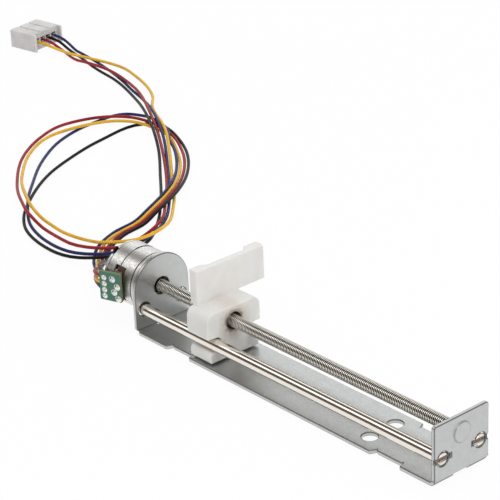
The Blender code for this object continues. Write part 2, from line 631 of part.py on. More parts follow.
def pivot_ball_x():
    """Centre of the steel ball between the screw's end and the pivot seat."""
    pocket_floor = PIVOT_SEAT_FRONT_X + PIVOT_SEAT_BODY - PIVOT_SEAT_WALL
    return pocket_floor - SEAT_GAP - PIVOT_BALL_RADIUS


def make_pivot():
    """The plastic pivot seat in the end plate's recess, and the ball in it."""
    spigot_x = END_INNER_X + PIVOT_RECESS_DEPTH - SEAT_GAP
    shoulder_x = END_INNER_X - SEAT_GAP
    pocket_x = shoulder_x - PIVOT_SEAT_WALL
    profile = [(spigot_x, 0.0), (spigot_x, PIVOT_SEAT_RADIUS - SEAT_GAP),
               (shoulder_x, PIVOT_SEAT_RADIUS - SEAT_GAP), (shoulder_x, PIVOT_SEAT_RADIUS),
               (PIVOT_SEAT_FRONT_X, PIVOT_SEAT_RADIUS), (PIVOT_SEAT_FRONT_X, PIVOT_POCKET_RADIUS),
               (pocket_x, PIVOT_POCKET_RADIUS), (pocket_x, 0.0)]
    smooth(apply_all(turned("pivot_seat", profile, closed=False, finish="white_acetal")))
    mesh = bpy.data.meshes.new("pivot_ball")
    work = bmesh.new()
    bmesh.ops.create_uvsphere(work, u_segments=12, v_segments=8, radius=PIVOT_BALL_RADIUS)
    work.to_mesh(mesh)
    work.free()
    ball = add_object("pivot_ball", mesh, Matrix.Translation((pivot_ball_x(), 0.0, AXIS_HEIGHT)),
                      "polished_steel")
    smooth(ball, 60.0)


def slider_section():
    """The slider block seen along the rods: a rounded top, an open rod slot in each side and a
    narrower lower jaw."""
    half = SLIDER_WIDTH / 2
    jaw = LOWER_JAW_WIDTH / 2
    rod_y = ROD_SPACING / 2
    right = [Vector(point) for point in rounded([
        (0.0, SLIDER_TOP), (half, SLIDER_TOP, SLIDER_SHOULDER),
        (half, ROD_HEIGHT + ROD_HOLE_RADIUS + ROD_SLOT_FLARE)])]
    right += arc((rod_y, ROD_HEIGHT), ROD_HOLE_RADIUS, 90, 270, SMALL_STEPS // 2)
    lower = rounded([(rod_y, ROD_HEIGHT - ROD_HOLE_RADIUS),
                     (jaw, ROD_HEIGHT - ROD_HOLE_RADIUS - ROD_SLOT_FLARE, LOWER_JAW_ROUND),
                     (jaw, SLIDER_BOTTOM, LOWER_JAW_EDGE), (0.0, SLIDER_BOTTOM)])
    right += lower[1:]
    left = [Vector((-point.x, point.y)) for point in reversed(right[1:-1])]
    return right + left


def make_slider():
    """The moulded slider: block, rod slots, screw hole and the upright arm."""
    back_x = SLIDER_FRONT_X - SLIDER_LENGTH
    arm_front = SLIDER_FRONT_X - ARM_FRONT_SETBACK
    arm_back = arm_front - ARM_THICKNESS
    rib_back = arm_back - ARM_RIB_DEPTH
    pad_back = arm_back - ARM_PAD_DEPTH
    slider = flat_solid("slider", [slider_section()], back_x, SLIDER_FRONT_X, ENDWISE, "white_acetal")
    outline = rounded([
        (arm_front, ARM_NEAR_Y, ARM_CORNER), (arm_front, ARM_FAR_Y, ARM_CORNER),
        (pad_back, ARM_FAR_Y, ARM_CORNER), (pad_back, ARM_FAR_Y - ARM_PAD_WIDTH),
        (arm_back, ARM_FAR_Y - ARM_PAD_WIDTH - ARM_PAD_SLOPE),
        (arm_back, ARM_NEAR_Y + ARM_RIB_WIDTH + ARM_RIB_SLOPE),
        (rib_back, ARM_NEAR_Y + ARM_RIB_WIDTH), (rib_back, ARM_NEAR_Y, ARM_CORNER)], 3)
    boolean(slider, flat_solid("slider_arm", [outline], SLIDER_TOP - ARM_SINK, ARM_TOP), "UNION")
    cut(slider,
        round_bar("slider_bore", SCREW_RADIUS + SLIDER_SCREW_GAP, back_x - MARGIN,
                  SLIDER_FRONT_X + MARGIN, 0.0, AXIS_HEIGHT),
        round_bar("slider_mouth", SLIDER_MOUTH_RADIUS, SLIDER_FRONT_X - SLIDER_MOUTH_DEPTH,
                  SLIDER_FRONT_X + MARGIN, 0.0, AXIS_HEIGHT))
    smooth(apply_all(slider), 30.0)


def make_flange():
    """The motor's front flange: a lip against the bracket and a shoulder in line with the can."""
    lip_x = FLANGE_FRONT_X - FLANGE_LIP
    hole = BEARING_BODY_RADIUS + SEAT_GAP
    profile = [(FLANGE_FRONT_X, hole), (FLANGE_FRONT_X, FLANGE_RADIUS), (lip_x, FLANGE_RADIUS),
               (lip_x, CAN_RADIUS), (FLANGE_BACK_X, CAN_RADIUS), (FLANGE_BACK_X, hole)]
    smooth(apply_all(turned("motor_front_flange", profile, CAN_STEPS, finish="drawn_steel")))


def claw_slots(name, root_x, tip_x, offset):
    """Cutters for the spaces between claws, narrow at the root and wide at the tip."""
    middle = (CLAW_INNER_RADIUS + CLAW_OUTER_RADIUS) / 2
    pitch = math.tau / CLAW_COUNT

    def half_chord(claw_width):
        return middle * math.sin((pitch - claw_width / middle) / 2)

    root = half_chord(CLAW_ROOT_WIDTH)
    tip = half_chord(CLAW_TIP_WIDTH)
    way = math.copysign(MARGIN, tip_x - root_x)
    outline = [(root_x, -root), (tip_x, -tip), (tip_x + way, -tip), (tip_x + way, tip), (tip_x, tip),
               (root_x, root)]
    made = []
    for index in range(CLAW_COUNT):
        mesh = flat_mesh(name, [[Vector(point) for point in outline]], CLAW_THICKNESS * 4)
        turn = Matrix.Rotation(pitch * (index + offset), 4, "X")
        place = Matrix.Translation((0, 0, AXIS_HEIGHT)) @ turn @ Matrix.Translation((0, 0, middle))
        made.append(add_object("%s_%d" % (name, index), mesh, place))
    return join_meshes(name, made)


def make_cups():
    """Front and rear stator cups: drawn shells whose inner rim is folded into claw poles."""
    window = box("terminal_window",
                 (FLANGE_FRONT_X - WINDOW_FRONT - WINDOW_LENGTH, -CAN_RADIUS - MARGIN, WINDOW_BOTTOM),
                 (FLANGE_FRONT_X - WINDOW_FRONT, -WINDOW_INNER_Y, WINDOW_TOP))
    inner = CAN_RADIUS - CAN_WALL
    for name, closed_x, open_x, offset in (
            ("motor_front_cup", FRONT_CUP_X, FRONT_CUP_X - FRONT_CUP_LENGTH, 0.0),
            ("motor_rear_cup", REAR_CUP_X, REAR_CUP_X + REAR_CUP_LENGTH, 0.25)):
        way = math.copysign(1.0, open_x - closed_x)
        floor_x = closed_x + way * CAN_WALL
        tip_x = open_x - way * (YOKE_THICKNESS + SEAT_GAP)
        profile = [(closed_x, CLAW_INNER_RADIUS), (closed_x, CAN_RADIUS), (open_x, CAN_RADIUS),
                   (open_x, inner), (floor_x, inner), (floor_x, CLAW_OUTER_RADIUS),
                   (tip_x, CLAW_OUTER_RADIUS), (tip_x, CLAW_INNER_RADIUS)]
        if way > 0:
            profile.reverse()
        cup = turned(name, profile, CAN_STEPS, finish="drawn_steel")
        cut(cup, claw_slots(name + "_slots", floor_x, tip_x, offset), window)
        smooth(apply_all(cup))


def make_yokes():
    """The two inner yokes, back to back in the middle: discs with claws that reach between
    the cups' claws."""
    disc = CAN_RADIUS - CAN_WALL - SEAT_GAP
    for name, back_x, way, offset, claw_end in (
            ("front_yoke", CUP_SPLIT_X + SEAT_GAP / 2, 1.0, 0.5, FRONT_CUP_X - CAN_WALL - SEAT_GAP),
            ("rear_yoke", CUP_SPLIT_X - SEAT_GAP / 2, -1.0, 0.75, REAR_CUP_X + CAN_WALL + SEAT_GAP)):
        face_x = back_x + way * YOKE_THICKNESS
        profile = [(claw_end, CLAW_INNER_RADIUS), (claw_end, CLAW_OUTER_RADIUS),
                   (face_x, CLAW_OUTER_RADIUS), (face_x, disc), (back_x, disc), (back_x, CLAW_INNER_RADIUS)]
        if way < 0:
            profile.reverse()
        yoke = turned(name, profile, CAN_STEPS, finish="drawn_steel")
        cut(yoke, claw_slots(name + "_slots", face_x, claw_end, offset))
        smooth(apply_all(yoke))


def make_coils():
    """A bobbin and its winding in each half of the stator."""
    barrel_in = CLAW_OUTER_RADIUS + SEAT_GAP
    barrel_out = barrel_in + BOBBIN_WALL
    for half, low, high in (
            ("rear", REAR_CUP_X + CAN_WALL + SEAT_GAP, CUP_SPLIT_X - SEAT_GAP / 2 - YOKE_THICKNESS - SEAT_GAP),
            ("front", CUP_SPLIT_X + SEAT_GAP / 2 + YOKE_THICKNESS + SEAT_GAP,
             FRONT_CUP_X - CAN_WALL - SEAT_GAP)):
        bobbin = [(high, barrel_in), (high, BOBBIN_FLANGE_RADIUS), (high - BOBBIN_WALL, BOBBIN_FLANGE_RADIUS),
                  (high - BOBBIN_WALL, barrel_out), (low + BOBBIN_WALL, barrel_out),
                  (low + BOBBIN_WALL, BOBBIN_FLANGE_RADIUS), (low, BOBBIN_FLANGE_RADIUS), (low, barrel_in)]
        smooth(apply_all(turned(half + "_bobbin", bobbin, SMALL_STEPS, finish="bobbin_resin")))
        wound_low = low + BOBBIN_WALL + SEAT_GAP
        wound_high = high - BOBBIN_WALL - SEAT_GAP
        inside = barrel_out + SEAT_GAP
        outside = BOBBIN_FLANGE_RADIUS - WINDING_INSET
        winding = [(wound_high, inside), (wound_high, outside), (wound_low, outside), (wound_low, inside)]
        smooth(apply_all(turned(half + "_winding", winding, SMALL_STEPS, finish="copper")))


def make_rotor_and_bearings():
    """The ring magnet on the shaft, and the bush at each end of it."""
    front_collar = FLANGE_BACK_X - SEAT_GAP
    magnet_front = front_collar - BEARING_COLLAR - SEAT_GAP
    rear_collar_back = REAR_CUP_X
    rear_collar_front = rear_collar_back + BEARING_COLLAR
    magnet_back = rear_collar_front + SEAT_GAP
    magnet_radius = CLAW_INNER_RADIUS - SEAT_GAP
    magnet = [(magnet_front, BUSH_BORE), (magnet_front, magnet_radius), (magnet_back, magnet_radius),
              (magnet_back, BUSH_BORE)]
    smooth(apply_all(turned("rotor_magnet", magnet, SMALL_STEPS, finish="black_magnet")))
    body_front = FLANGE_FRONT_X - SEAT_GAP
    front = [(body_front, BUSH_BORE), (body_front, BEARING_BODY_RADIUS), (front_collar, BEARING_BODY_RADIUS),
             (front_collar, BUSH_COLLAR_RADIUS), (front_collar - BEARING_COLLAR, BUSH_COLLAR_RADIUS),
             (front_collar - BEARING_COLLAR, BUSH_BORE)]
    smooth(apply_all(turned("front_bearing", front, SMALL_STEPS, finish="bronze")))
    rear = [(rear_collar_front, BUSH_BORE), (rear_collar_front, BUSH_COLLAR_RADIUS),
            (rear_collar_back, BUSH_COLLAR_RADIUS), (rear_collar_back, BUSH_BORE)]
    smooth(apply_all(turned("rear_bearing", rear, SMALL_STEPS, finish="bronze")))


def make_end_cap():
    """The rear cover, a shallow pan with a notch in its rim, and the leaf spring in it that
    pushes the shaft towards the pivot."""
    inner = CAN_RADIUS - CAN_WALL
    floor_x = MOTOR_REAR_X + END_CAP_WALL
    profile = [(floor_x, 0.0), (floor_x, inner), (END_CAP_X, inner), (END_CAP_X, CAN_RADIUS),
               (MOTOR_REAR_X + CAN_WALL / 2, CAN_RADIUS), (MOTOR_REAR_X, CAN_RADIUS - CAN_WALL / 2),
               (MOTOR_REAR_X, 0.0)]
    cap = turned("motor_end_cap", profile, CAN_STEPS, closed=False, finish="drawn_steel")
    notch = box("end_cap_notch", (-CAN_WALL * 2, -END_CAP_NOTCH_WIDTH / 2, 0.0),
                (MARGIN, END_CAP_NOTCH_WIDTH / 2, MARGIN))
    turn = Matrix.Rotation(math.radians(90.0 - END_CAP_NOTCH_ANGLE), 4, "X")
    notch.matrix_world = (Matrix.Translation((END_CAP_X, 0, AXIS_HEIGHT)) @ turn.inverted()
                          @ Matrix.Translation((0, 0, inner - CAN_WALL)) @ notch.matrix_world)
    cut(cap, notch)
    smooth(apply_all(cap))
    ring_out = inner - SEAT_GAP
    ring_in = ring_out - SPRING_RING_WIDTH
    half = math.degrees(math.asin(SPRING_TONGUE_WIDTH / 2 / ring_in))
    head = math.degrees(math.asin(SPRING_TONGUE_WIDTH / 2 / SPRING_TONGUE_HEAD))
    centre = (0.0, AXIS_HEIGHT)
    outer = arc(centre, ring_out, 0, 360 - 360 / CAN_STEPS, CAN_STEPS - 1)
    opening = arc(centre, ring_in, -90 + half, 270 - half, CAN_STEPS)
    opening += arc(centre, SPRING_TONGUE_HEAD, 270 - head, -90 + head, SMALL_STEPS // 2)
    flat_solid("preload_spring", [outer, opening], SPRING_BACK_X, SPRING_BACK_X + SPRING_THICKNESS,
               ENDWISE, "spring_steel")


def board_place():
    """The board's own frame: X along its width, Y from its face to its back, Z up, with the
    origin at the lower rear corner of the face that carries the solder."""
    return Matrix.Translation((BOARD_REAR_X, BOARD_REAR_Y, 0.0)) @ Matrix.Rotation(
        math.radians(BOARD_TURN), 4, "Z")


def board_rod(name, radius, along, height, low, high):
    """A round cutter square to the board, between two depths behind its face."""
    mesh = bpy.data.meshes.new(name)
    work = bmesh.new()
    bmesh.ops.create_cone(work, cap_ends=True, segments=PIN_STEPS, radius1=radius, radius2=radius,
                          depth=high - low)
    work.to_mesh(mesh)
    work.free()
    lay = Matrix.Translation((along, (low + high) / 2, height)) @ Matrix.Rotation(-math.pi / 2, 4, "X")
    return add_object(name, mesh, board_place() @ lay)


def soldered(name, along, height, pin_depth):
    """A low cone of solder on the board's face, with the pin behind it where there is one."""
    face = -SEAT_GAP
    top = face - SOLDER_HEIGHT
    profile = [(top, 0.0), (top, SOLDER_RADIUS * SOLDER_TAPER), (face, SOLDER_RADIUS)]
    if pin_depth > 0.0:
        profile += [(face, PIN_RADIUS), (pin_depth, PIN_RADIUS), (pin_depth, 0.0)]
    else:
        profile += [(face, 0.0)]
    mesh = bpy.data.meshes.new(name)
    work = bmesh.new()
    points = [work.verts.new((radius, 0.0, -depth)) for depth, radius in profile]
    for first, second in zip(points, points[1:]):
        work.edges.new((first, second))
    work.to_mesh(mesh)
    work.free()
    lay = Matrix.Translation((along, 0.0, height)) @ Matrix.Rotation(math.pi / 2, 4, "X")
    joint = add_object(name, mesh, board_place() @ lay, "solder")
    screw = joint.modifiers.new("turn", "SCREW")
    screw.axis = "Z"
    screw.angle = math.tau
    screw.steps = PIN_STEPS
    screw.render_steps = PIN_STEPS
    screw.use_merge_vertices = True
    screw.merge_threshold = 0.00001
    smooth(apply_all(joint), 60.0)


def make_board():
    """The circuit board, the terminal block behind it, and the soldered pins and wire joints."""
    top = BOARD_BOTTOM + BOARD_HEIGHT
    outline = rounded([(0.0, BOARD_BOTTOM, BOARD_CORNER), (BOARD_WIDTH, BOARD_BOTTOM, BOARD_CORNER),
                       (BOARD_WIDTH, top, BOARD_CORNER), (0.0, top, BOARD_CORNER)], 3)
    mesh = flat_mesh("circuit_board", [outline], BOARD_THICKNESS)
    board = add_object("circuit_board", mesh, board_place() @ SIDE
                       @ Matrix.Translation((0, 0, -BOARD_THICKNESS / 2)), "green_laminate")
    block = make_terminal_block()
    socket = BOARD_THICKNESS + SEAT_GAP + PIN_SOCKET_DEPTH
    for number, (along, height) in enumerate(PIN_PLACES, 1):
        cut(board, board_rod("pin_hole_%d" % number, PIN_HOLE_RADIUS, along, height, -MARGIN,
                             BOARD_THICKNESS + SEAT_GAP / 2))
        cut(block, board_rod("pin_socket_%d" % number, PIN_HOLE_RADIUS, along, height,
                             BOARD_THICKNESS, socket))
        soldered("terminal_pin_%d" % number, along, height, socket - SEAT_GAP)
    for number, height in enumerate(WIRE_JOINT_HEIGHTS, 1):
        soldered("wire_joint_%d" % number, WIRE_JOINT_INSET, height, 0.0)
    apply_all(board)
    apply_all(block)


def make_terminal_block():
    """The moulded block between the winding's ends and the board."""
    place = board_place()
    near = BOARD_THICKNESS + SEAT_GAP
    front_x = FLANGE_FRONT_X - WINDOW_FRONT - SEAT_GAP
    rear = place @ Vector((BOARD_WIDTH * 0.43, near, 0.0))
    corner = place @ Vector((BOARD_WIDTH, near, 0.0))
    slope = (corner.y - rear.y) / (corner.x - rear.x)
    inner_y = -(CAN_RADIUS - CAN_WALL)
    outline = [Vector((rear.x, rear.y)), Vector((front_x, rear.y + slope * (front_x - rear.x))),
               Vector((front_x, inner_y)), Vector((rear.x, inner_y))]
    return flat_solid("terminal_block", [outline], BLOCK_BOTTOM, BLOCK_TOP, PLAN, "bobbin_resin")


def smooth_route(points):
    """Places read from a smooth curve through the chosen points, kept just above the floor."""
    chosen = [Vector(point) for point in points]
    chain = [chosen[0] * 2 - chosen[1]] + chosen + [chosen[-1] * 2 - chosen[-2]]
    places = []
    for before, here, ahead, after in zip(chain, chain[1:], chain[2:], chain[3:]):
        for reading in range(ROUTE_READINGS):
            t = reading / ROUTE_READINGS
            place = (here * 2 + (ahead - before) * t + (before * 2 - here * 5 + ahead * 4 - after) * t ** 2
                     + (after - before + (here - ahead) * 3) * t ** 3) / 2
            places.append(place)
    places.append(chosen[-1])
    for place in places:
        place.z = max(place.z, WIRE_RADIUS + WIRE_LIFT)
    return places


def make_wires():
    """The four insulated wires, each a tube of its own."""
    for colour, points in WIRE_ROUTES.items():
        places = smooth_route(points)
        curve = bpy.data.curves.new("wire_" + colour, "CURVE")
        curve.dimensions = "3D"
        curve.bevel_depth = WIRE_RADIUS
        curve.bevel_resolution = 2
        curve.use_fill_caps = True
        spline = curve.splines.new("POLY")
        spline.points.add(len(places) - 1)
        for point, place in zip(spline.points, places):
            point.co = (*place, 1.0)
        wire = add_object("wire_" + colour, curve_to_mesh("wire_" + colour, curve), None,
                          colour + "_insulation")
        smooth(wire, 50.0)


def connector_place():
    """The connector's own frame: X from its mating face to the wires, Z up, on the floor."""
    return Matrix.Translation((*CONNECTOR_PLACE, 0.0)) @ Matrix.Rotation(
        math.radians(CONNECTOR_TURN), 4, "Z")


def connector_box(name, low, high, finish=None):
    """A box between two corners in the connector's frame."""
    obj = box(name, low, high, finish)
    obj.matrix_world = connector_place() @ obj.matrix_world
    return obj


def make_connector():
    """The nylon housing, a row of square cavities, and a crimped contact in each one."""
    back = CONNECTOR_LENGTH / 2
    half = CONNECTOR_WIDTH / 2
    reach = back + CONNECTOR_SIDE_REACH
    inner = half - CONNECTOR_SIDE_WALL
    outline = rounded([
        (-back, -half, CONNECTOR_CORNER), (reach, -half), (reach, -inner), (back, -inner),
        (back, inner), (reach, inner), (reach, half), (-back, half, CONNECTOR_CORNER)], 3)
    housing = flat_solid("connector_housing", [outline], 0.0, CONNECTOR_HEIGHT, connector_place(),
                         "connector_nylon")
    for side in (-1, 1):
        middle = side * CONNECTOR_GROOVE_SPACING / 2
        cut(housing, connector_box(
            "connector_groove_%s" % ("near" if side < 0 else "far"),
            (-reach - MARGIN, middle - CONNECTOR_GROOVE_WIDTH / 2, CONNECTOR_HEIGHT - CONNECTOR_GROOVE_DEPTH),
            (reach + MARGIN, middle + CONNECTOR_GROOVE_WIDTH / 2, CONNECTOR_HEIGHT + MARGIN)))
    low_z = CAVITY_HEIGHT - CAVITY_SIZE / 2
    high_z = CAVITY_HEIGHT + CAVITY_SIZE / 2
    for number in range(1, 5):
        y = (number - 2.5) * CONNECTOR_PITCH
        cut(housing, connector_box("cavity_%d" % number, (-back - MARGIN, y - CAVITY_SIZE / 2, low_z),
                                   (back + MARGIN, y + CAVITY_SIZE / 2, high_z)))
        make_contact(number, y)
    apply_all(housing)


def make_contact(number, y):
    """One contact: a square socket for the mating pin, and the barrel crimped on the wire."""
    back = CONNECTOR_LENGTH / 2
    front = CONTACT_INSET - back
    half = CAVITY_SIZE / 2 - SEAT_GAP
    contact = connector_box("connector_contact_%d" % number, (front, y - half, CAVITY_HEIGHT - half),
                            (front + CONTACT_LENGTH, y + half, CAVITY_HEIGHT + half), "tinned_brass")
    barrel = round_bar("crimp_barrel_%d" % number, CRIMP_RADIUS, front + CONTACT_LENGTH / 2, back, y,
                       CAVITY_HEIGHT, PIN_STEPS)
    barrel.matrix_world = connector_place() @ barrel.matrix_world
    boolean(contact, barrel, "UNION")
    bore = CONTACT_BORE / 2
    cut(contact, connector_box("contact_bore_%d" % number, (front - MARGIN, y - bore, CAVITY_HEIGHT - bore),
                               (front + CONTACT_BORE_DEPTH, y + bore, CAVITY_HEIGHT + bore)))
    apply_all(contact)


def main():
    start_scene()
    make_bracket()
    make_rods()
    make_lead_screw()
    make_pivot()
    make_slider()
    make_flange()
    make_cups()
    make_yokes()
    make_coils()
    make_rotor_and_bearings()
    make_end_cap()
    make_board()
    make_wires()
    make_connector()


main()
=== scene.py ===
"""Looks of the stepper motor linear slide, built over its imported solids.

Metres, in the solids' own frame: +X from the motor to the end plate, +Z up, origin in the
middle of the bracket's underside.
"""
import math

import bmesh
import bpy
from mathutils import Matrix, Vector
from mathutils.geometry import interpolate_bezier


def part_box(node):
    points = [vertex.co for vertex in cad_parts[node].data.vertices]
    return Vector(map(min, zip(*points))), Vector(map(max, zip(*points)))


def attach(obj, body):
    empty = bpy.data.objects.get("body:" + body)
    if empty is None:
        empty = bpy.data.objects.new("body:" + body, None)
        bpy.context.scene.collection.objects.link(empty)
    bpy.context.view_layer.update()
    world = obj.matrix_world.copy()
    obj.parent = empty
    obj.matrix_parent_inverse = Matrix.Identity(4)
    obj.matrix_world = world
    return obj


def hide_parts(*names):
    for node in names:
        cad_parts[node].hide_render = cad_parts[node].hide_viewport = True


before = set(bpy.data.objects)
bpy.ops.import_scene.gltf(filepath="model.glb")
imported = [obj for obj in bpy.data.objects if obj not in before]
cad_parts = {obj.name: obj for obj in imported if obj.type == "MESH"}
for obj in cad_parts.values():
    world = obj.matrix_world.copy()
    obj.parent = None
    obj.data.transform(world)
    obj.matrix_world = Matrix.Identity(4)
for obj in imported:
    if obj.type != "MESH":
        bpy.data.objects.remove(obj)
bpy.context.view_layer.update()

# Camera, as the photograph was taken
CAMERA_PLACE = (0.32997, -0.29405, 0.24479)
CAMERA_LOOK = (-0.68905601, 0.58580589, -0.42665358)
CAMERA_UP = (-0.29764131, 0.30802307, 0.90362129)
CAMERA_LENS = 159.885
SENSOR_WIDTH = 36.0

# Wires
WIRE_RADIUS = 0.00045
WIRE_LIFT = 0.00001
ROUTE_READINGS = 6
WIRE_ROUTES = {
    "blue": (
        (-0.0588, -0.00895, 0.008), (-0.0615, -0.00835, 0.008), (-0.0651, -0.007, 0.0075),
        (-0.08035, 0.00355, 0.00255), (-0.0891, 0.0095, 0.00045), (-0.09465, 0.01515, 0.00045),
        (-0.0985, 0.0233, 0.0005), (-0.10015, 0.03225, 0.0006), (-0.1018, 0.0373, 0.0014),
        (-0.1075, 0.04855, 0.00175), (-0.11685, 0.05995, 0.001), (-0.12925, 0.0696, 0.00145),
        (-0.1364, 0.07345, 0.00155), (-0.1408, 0.07695, 0.0015), (-0.15165, 0.0799, 0.00155),
        (-0.15665, 0.0806, 0.0008), (-0.16245, 0.07835, 0.0005), (-0.16385, 0.06585, 0.0005),
        (-0.15995, 0.0519, 0.0005), (-0.1521, 0.03995, 0.0005), (-0.1403, 0.0277, 0.00085),
        (-0.12825, 0.0172, 0.00155), (-0.1191, 0.01115, 0.0005), (-0.10745, 0.00775, 0.0005),
        (-0.0914, 0.00815, 0.0019), (-0.0867, 0.01135, 0.00235), (-0.08855, 0.0179, 0.0006),
        (-0.08855, 0.0209, 0.00055), (-0.0877, 0.0254, 0.00145), (-0.09285, 0.0358, 0.00115),
        (-0.1033, 0.0463, 0.00045), (-0.12175, 0.06095, 0.00065), (-0.13615, 0.07145, 0.0023),
        (-0.1515, 0.0807, 0.0026), (-0.1673, 0.08905, 0.0005), (-0.177, 0.0921, 0.0005),
        (-0.185, 0.0949, 0.00045), (-0.2172, 0.1016, 0.0005), (-0.2262, 0.1023, 0.0025),
        (-0.2291, 0.1018, 0.0029),),
    "yellow": (
        (-0.0588, -0.00895, 0.0096), (-0.0615, -0.00835, 0.0096), (-0.0656, -0.0073, 0.009),
        (-0.0691, -0.0038, 0.0077), (-0.0858, 0.00825, 0.00135), (-0.09585, 0.01925, 0.00045),
        (-0.0991, 0.03255, 0.0006), (-0.1008, 0.0377, 0.0014), (-0.10665, 0.0491, 0.0016),
        (-0.1162, 0.0607, 0.0008), (-0.12885, 0.07035, 0.0005), (-0.14355, 0.07685, 0.0005),
        (-0.15395, 0.0743, 0.0016), (-0.15895, 0.07035, 0.00155), (-0.16165, 0.0647, 0.00155),
        (-0.1634, 0.0575, 0.0014), (-0.16535, 0.0541, 0.0005), (-0.1644, 0.04975, 0.0005),
        (-0.1585, 0.0399, 0.0005), (-0.1485, 0.03015, 0.0006), (-0.13295, 0.01975, 0.0026),
        (-0.12275, 0.01565, 0.00175), (-0.119, 0.0154, 0.0006), (-0.1077, 0.01425, 0.0005),
        (-0.0986, 0.01525, 0.0009), (-0.0948, 0.01565, 0.00155), (-0.08755, 0.0226, 0.0024),
        (-0.08955, 0.0333, 0.00185), (-0.1, 0.04505, 0.00045), (-0.1178, 0.05915, 0.00045),
        (-0.13915, 0.0747, 0.00285), (-0.16085, 0.08715, 0.00115), (-0.16735, 0.09265, 0.0005),
        (-0.18575, 0.10045, 0.0005), (-0.19445, 0.1022, 0.0005), (-0.2001, 0.10145, 0.0007),
        (-0.2042, 0.0991, 0.0015), (-0.21365, 0.0959, 0.0021), (-0.2236, 0.0951, 0.0025),
        (-0.2278, 0.0944, 0.0029),),
    "red": (
        (-0.0588, -0.00895, 0.0112), (-0.0615, -0.00835, 0.0112), (-0.0656, -0.0073, 0.0106),
        (-0.0743, 0.0012, 0.0065), (-0.0849, 0.0088, 0.00145), (-0.09255, 0.0166, 0.00045),
        (-0.0963, 0.024, 0.0005), (-0.09805, 0.0328, 0.0006), (-0.0998, 0.0381, 0.0014),
        (-0.10575, 0.0497, 0.0016), (-0.11545, 0.0615, 0.0008), (-0.128, 0.0715, 0.0005),
        (-0.14455, 0.0783, 0.00045), (-0.1506, 0.0779, 0.00135), (-0.15745, 0.07595, 0.00155),
        (-0.16435, 0.06935, 0.0015), (-0.16735, 0.06675, 0.0008), (-0.1693, 0.0589, 0.0005),
        (-0.1661, 0.0492, 0.0005), (-0.15955, 0.039, 0.0005), (-0.1439, 0.0249, 0.0006),
        (-0.1283, 0.01545, 0.00255), (-0.12225, 0.0128, 0.00255), (-0.11435, 0.01195, 0.0006),
        (-0.0958, 0.0121, 0.00105), (-0.08995, 0.0142, 0.00195), (-0.08995, 0.0197, 0.0005),
        (-0.09055, 0.026, 0.0006), (-0.09145, 0.0316, 0.0016), (-0.1049, 0.0463, 0.00045),
        (-0.1305, 0.0663, 0.0016), (-0.1531, 0.08035, 0.0026), (-0.17935, 0.09345, 0.00145),
        (-0.1943, 0.0962, 0.00155), (-0.2041, 0.0954, 0.0016), (-0.20925, 0.0957, 0.00095),
        (-0.2206, 0.0979, 0.00125), (-0.2251, 0.0975, 0.0025), (-0.2283, 0.0969, 0.0029),),
    "black": (
        (-0.0588, -0.00895, 0.01285), (-0.0615, -0.0082, 0.0128), (-0.0651, -0.0064, 0.0121),
        (-0.0741, 0.002, 0.0076), (-0.0847, 0.00985, 0.0011), (-0.0918, 0.0172, 0.00045),
        (-0.0953, 0.0243, 0.0005), (-0.09705, 0.0331, 0.0006), (-0.09885, 0.0385, 0.0016),
        (-0.10485, 0.0503, 0.0017), (-0.1147, 0.0623, 0.0008), (-0.12745, 0.0725, 0.0005),
        (-0.13485, 0.0763, 0.0005), (-0.14585, 0.0799, 0.0005), (-0.1495, 0.0801, 0.0005),
        (-0.1525, 0.07685, 0.00045), (-0.1517, 0.0602, 0.0005), (-0.14745, 0.04605, 0.0005),
        (-0.14315, 0.0361, 0.0005), (-0.13245, 0.0211, 0.00045), (-0.1235, 0.0123, 0.0005),
        (-0.11765, 0.0086, 0.0005), (-0.10655, 0.0055, 0.0005), (-0.0907, 0.0057, 0.0019),
        (-0.08465, 0.00945, 0.00275), (-0.0864, 0.0169, 0.00075), (-0.0863, 0.0195, 0.00045),
        (-0.08775, 0.02615, 0.00045), (-0.0934, 0.03365, 0.00045), (-0.1068, 0.04625, 0.0005),
        (-0.1186, 0.0557, 0.0005), (-0.13235, 0.0663, 0.0017), (-0.13965, 0.071, 0.0026),
        (-0.15515, 0.0801, 0.0024), (-0.1716, 0.0885, 0.0007), (-0.18725, 0.09375, 0.0005),
        (-0.1979, 0.0955, 0.0005), (-0.2191, 0.1, 0.0009), (-0.2246, 0.1001, 0.0023),
        (-0.2287, 0.0993, 0.0029),),
}

# Colours of the wires' covers, from 0 to 255: light and shaded
WIRE_COLOURS = {
    "blue": ((38, 44, 100), (28, 32, 80)),
    "yellow": ((232, 184, 52), (220, 168, 40)),
    "red": ((164, 36, 42), (136, 26, 34)),
    "black": ((9, 9, 9), (5, 5, 6)),
}
CONNECTOR_ORDER = ("yellow", "red", "black", "blue")

# Fine wire ends in the terminal window: x, height and lean; then share of the lean, y and rise
TAIL_RADIUS = 0.0001
WIRE_TAILS = ((-0.0582, 0.0133, 0.0003), (-0.0572, 0.0136, -0.0003), (-0.0562, 0.0134, 0.0004))
TAIL_SHAPE = ((0.0, -0.0056, 0.0), (1.0, -0.0070, 0.0004), (1.6, -0.0071, -0.0010))

# Screw
AXIS_HEIGHT = 0.01028
THREAD_PITCH = 0.0005
THREAD_CREST = 0.0015
THREAD_ROOT = 0.00119
THREAD_STEPS = 24
THREAD_PROFILE = ((0.0, THREAD_ROOT), (0.12, THREAD_ROOT), (0.27, THREAD_CREST - 0.00003),
                  (0.33, THREAD_CREST), (0.67, THREAD_CREST), (0.73, THREAD_CREST - 0.00003),
                  (0.88, THREAD_ROOT), (1.0, THREAD_ROOT))
THREAD_ANGLE = 30.0
# Thread colours by radius: dark brown roots are grease with painted shade, near-white crests a
# painted highlight
GREASE_AND_SHADE_TOP = THREAD_CREST - 0.00008
HIGHLIGHT_FROM = THREAD_CREST - 0.00003
GREASE_AND_SHADE_COLOURS = ((26, 20, 16), (48, 39, 32))
CREST_HIGHLIGHT_COLOUR = (255, 250, 242)
JOURNAL_RADIUS = 0.0009
JOURNAL_SIDES = 32

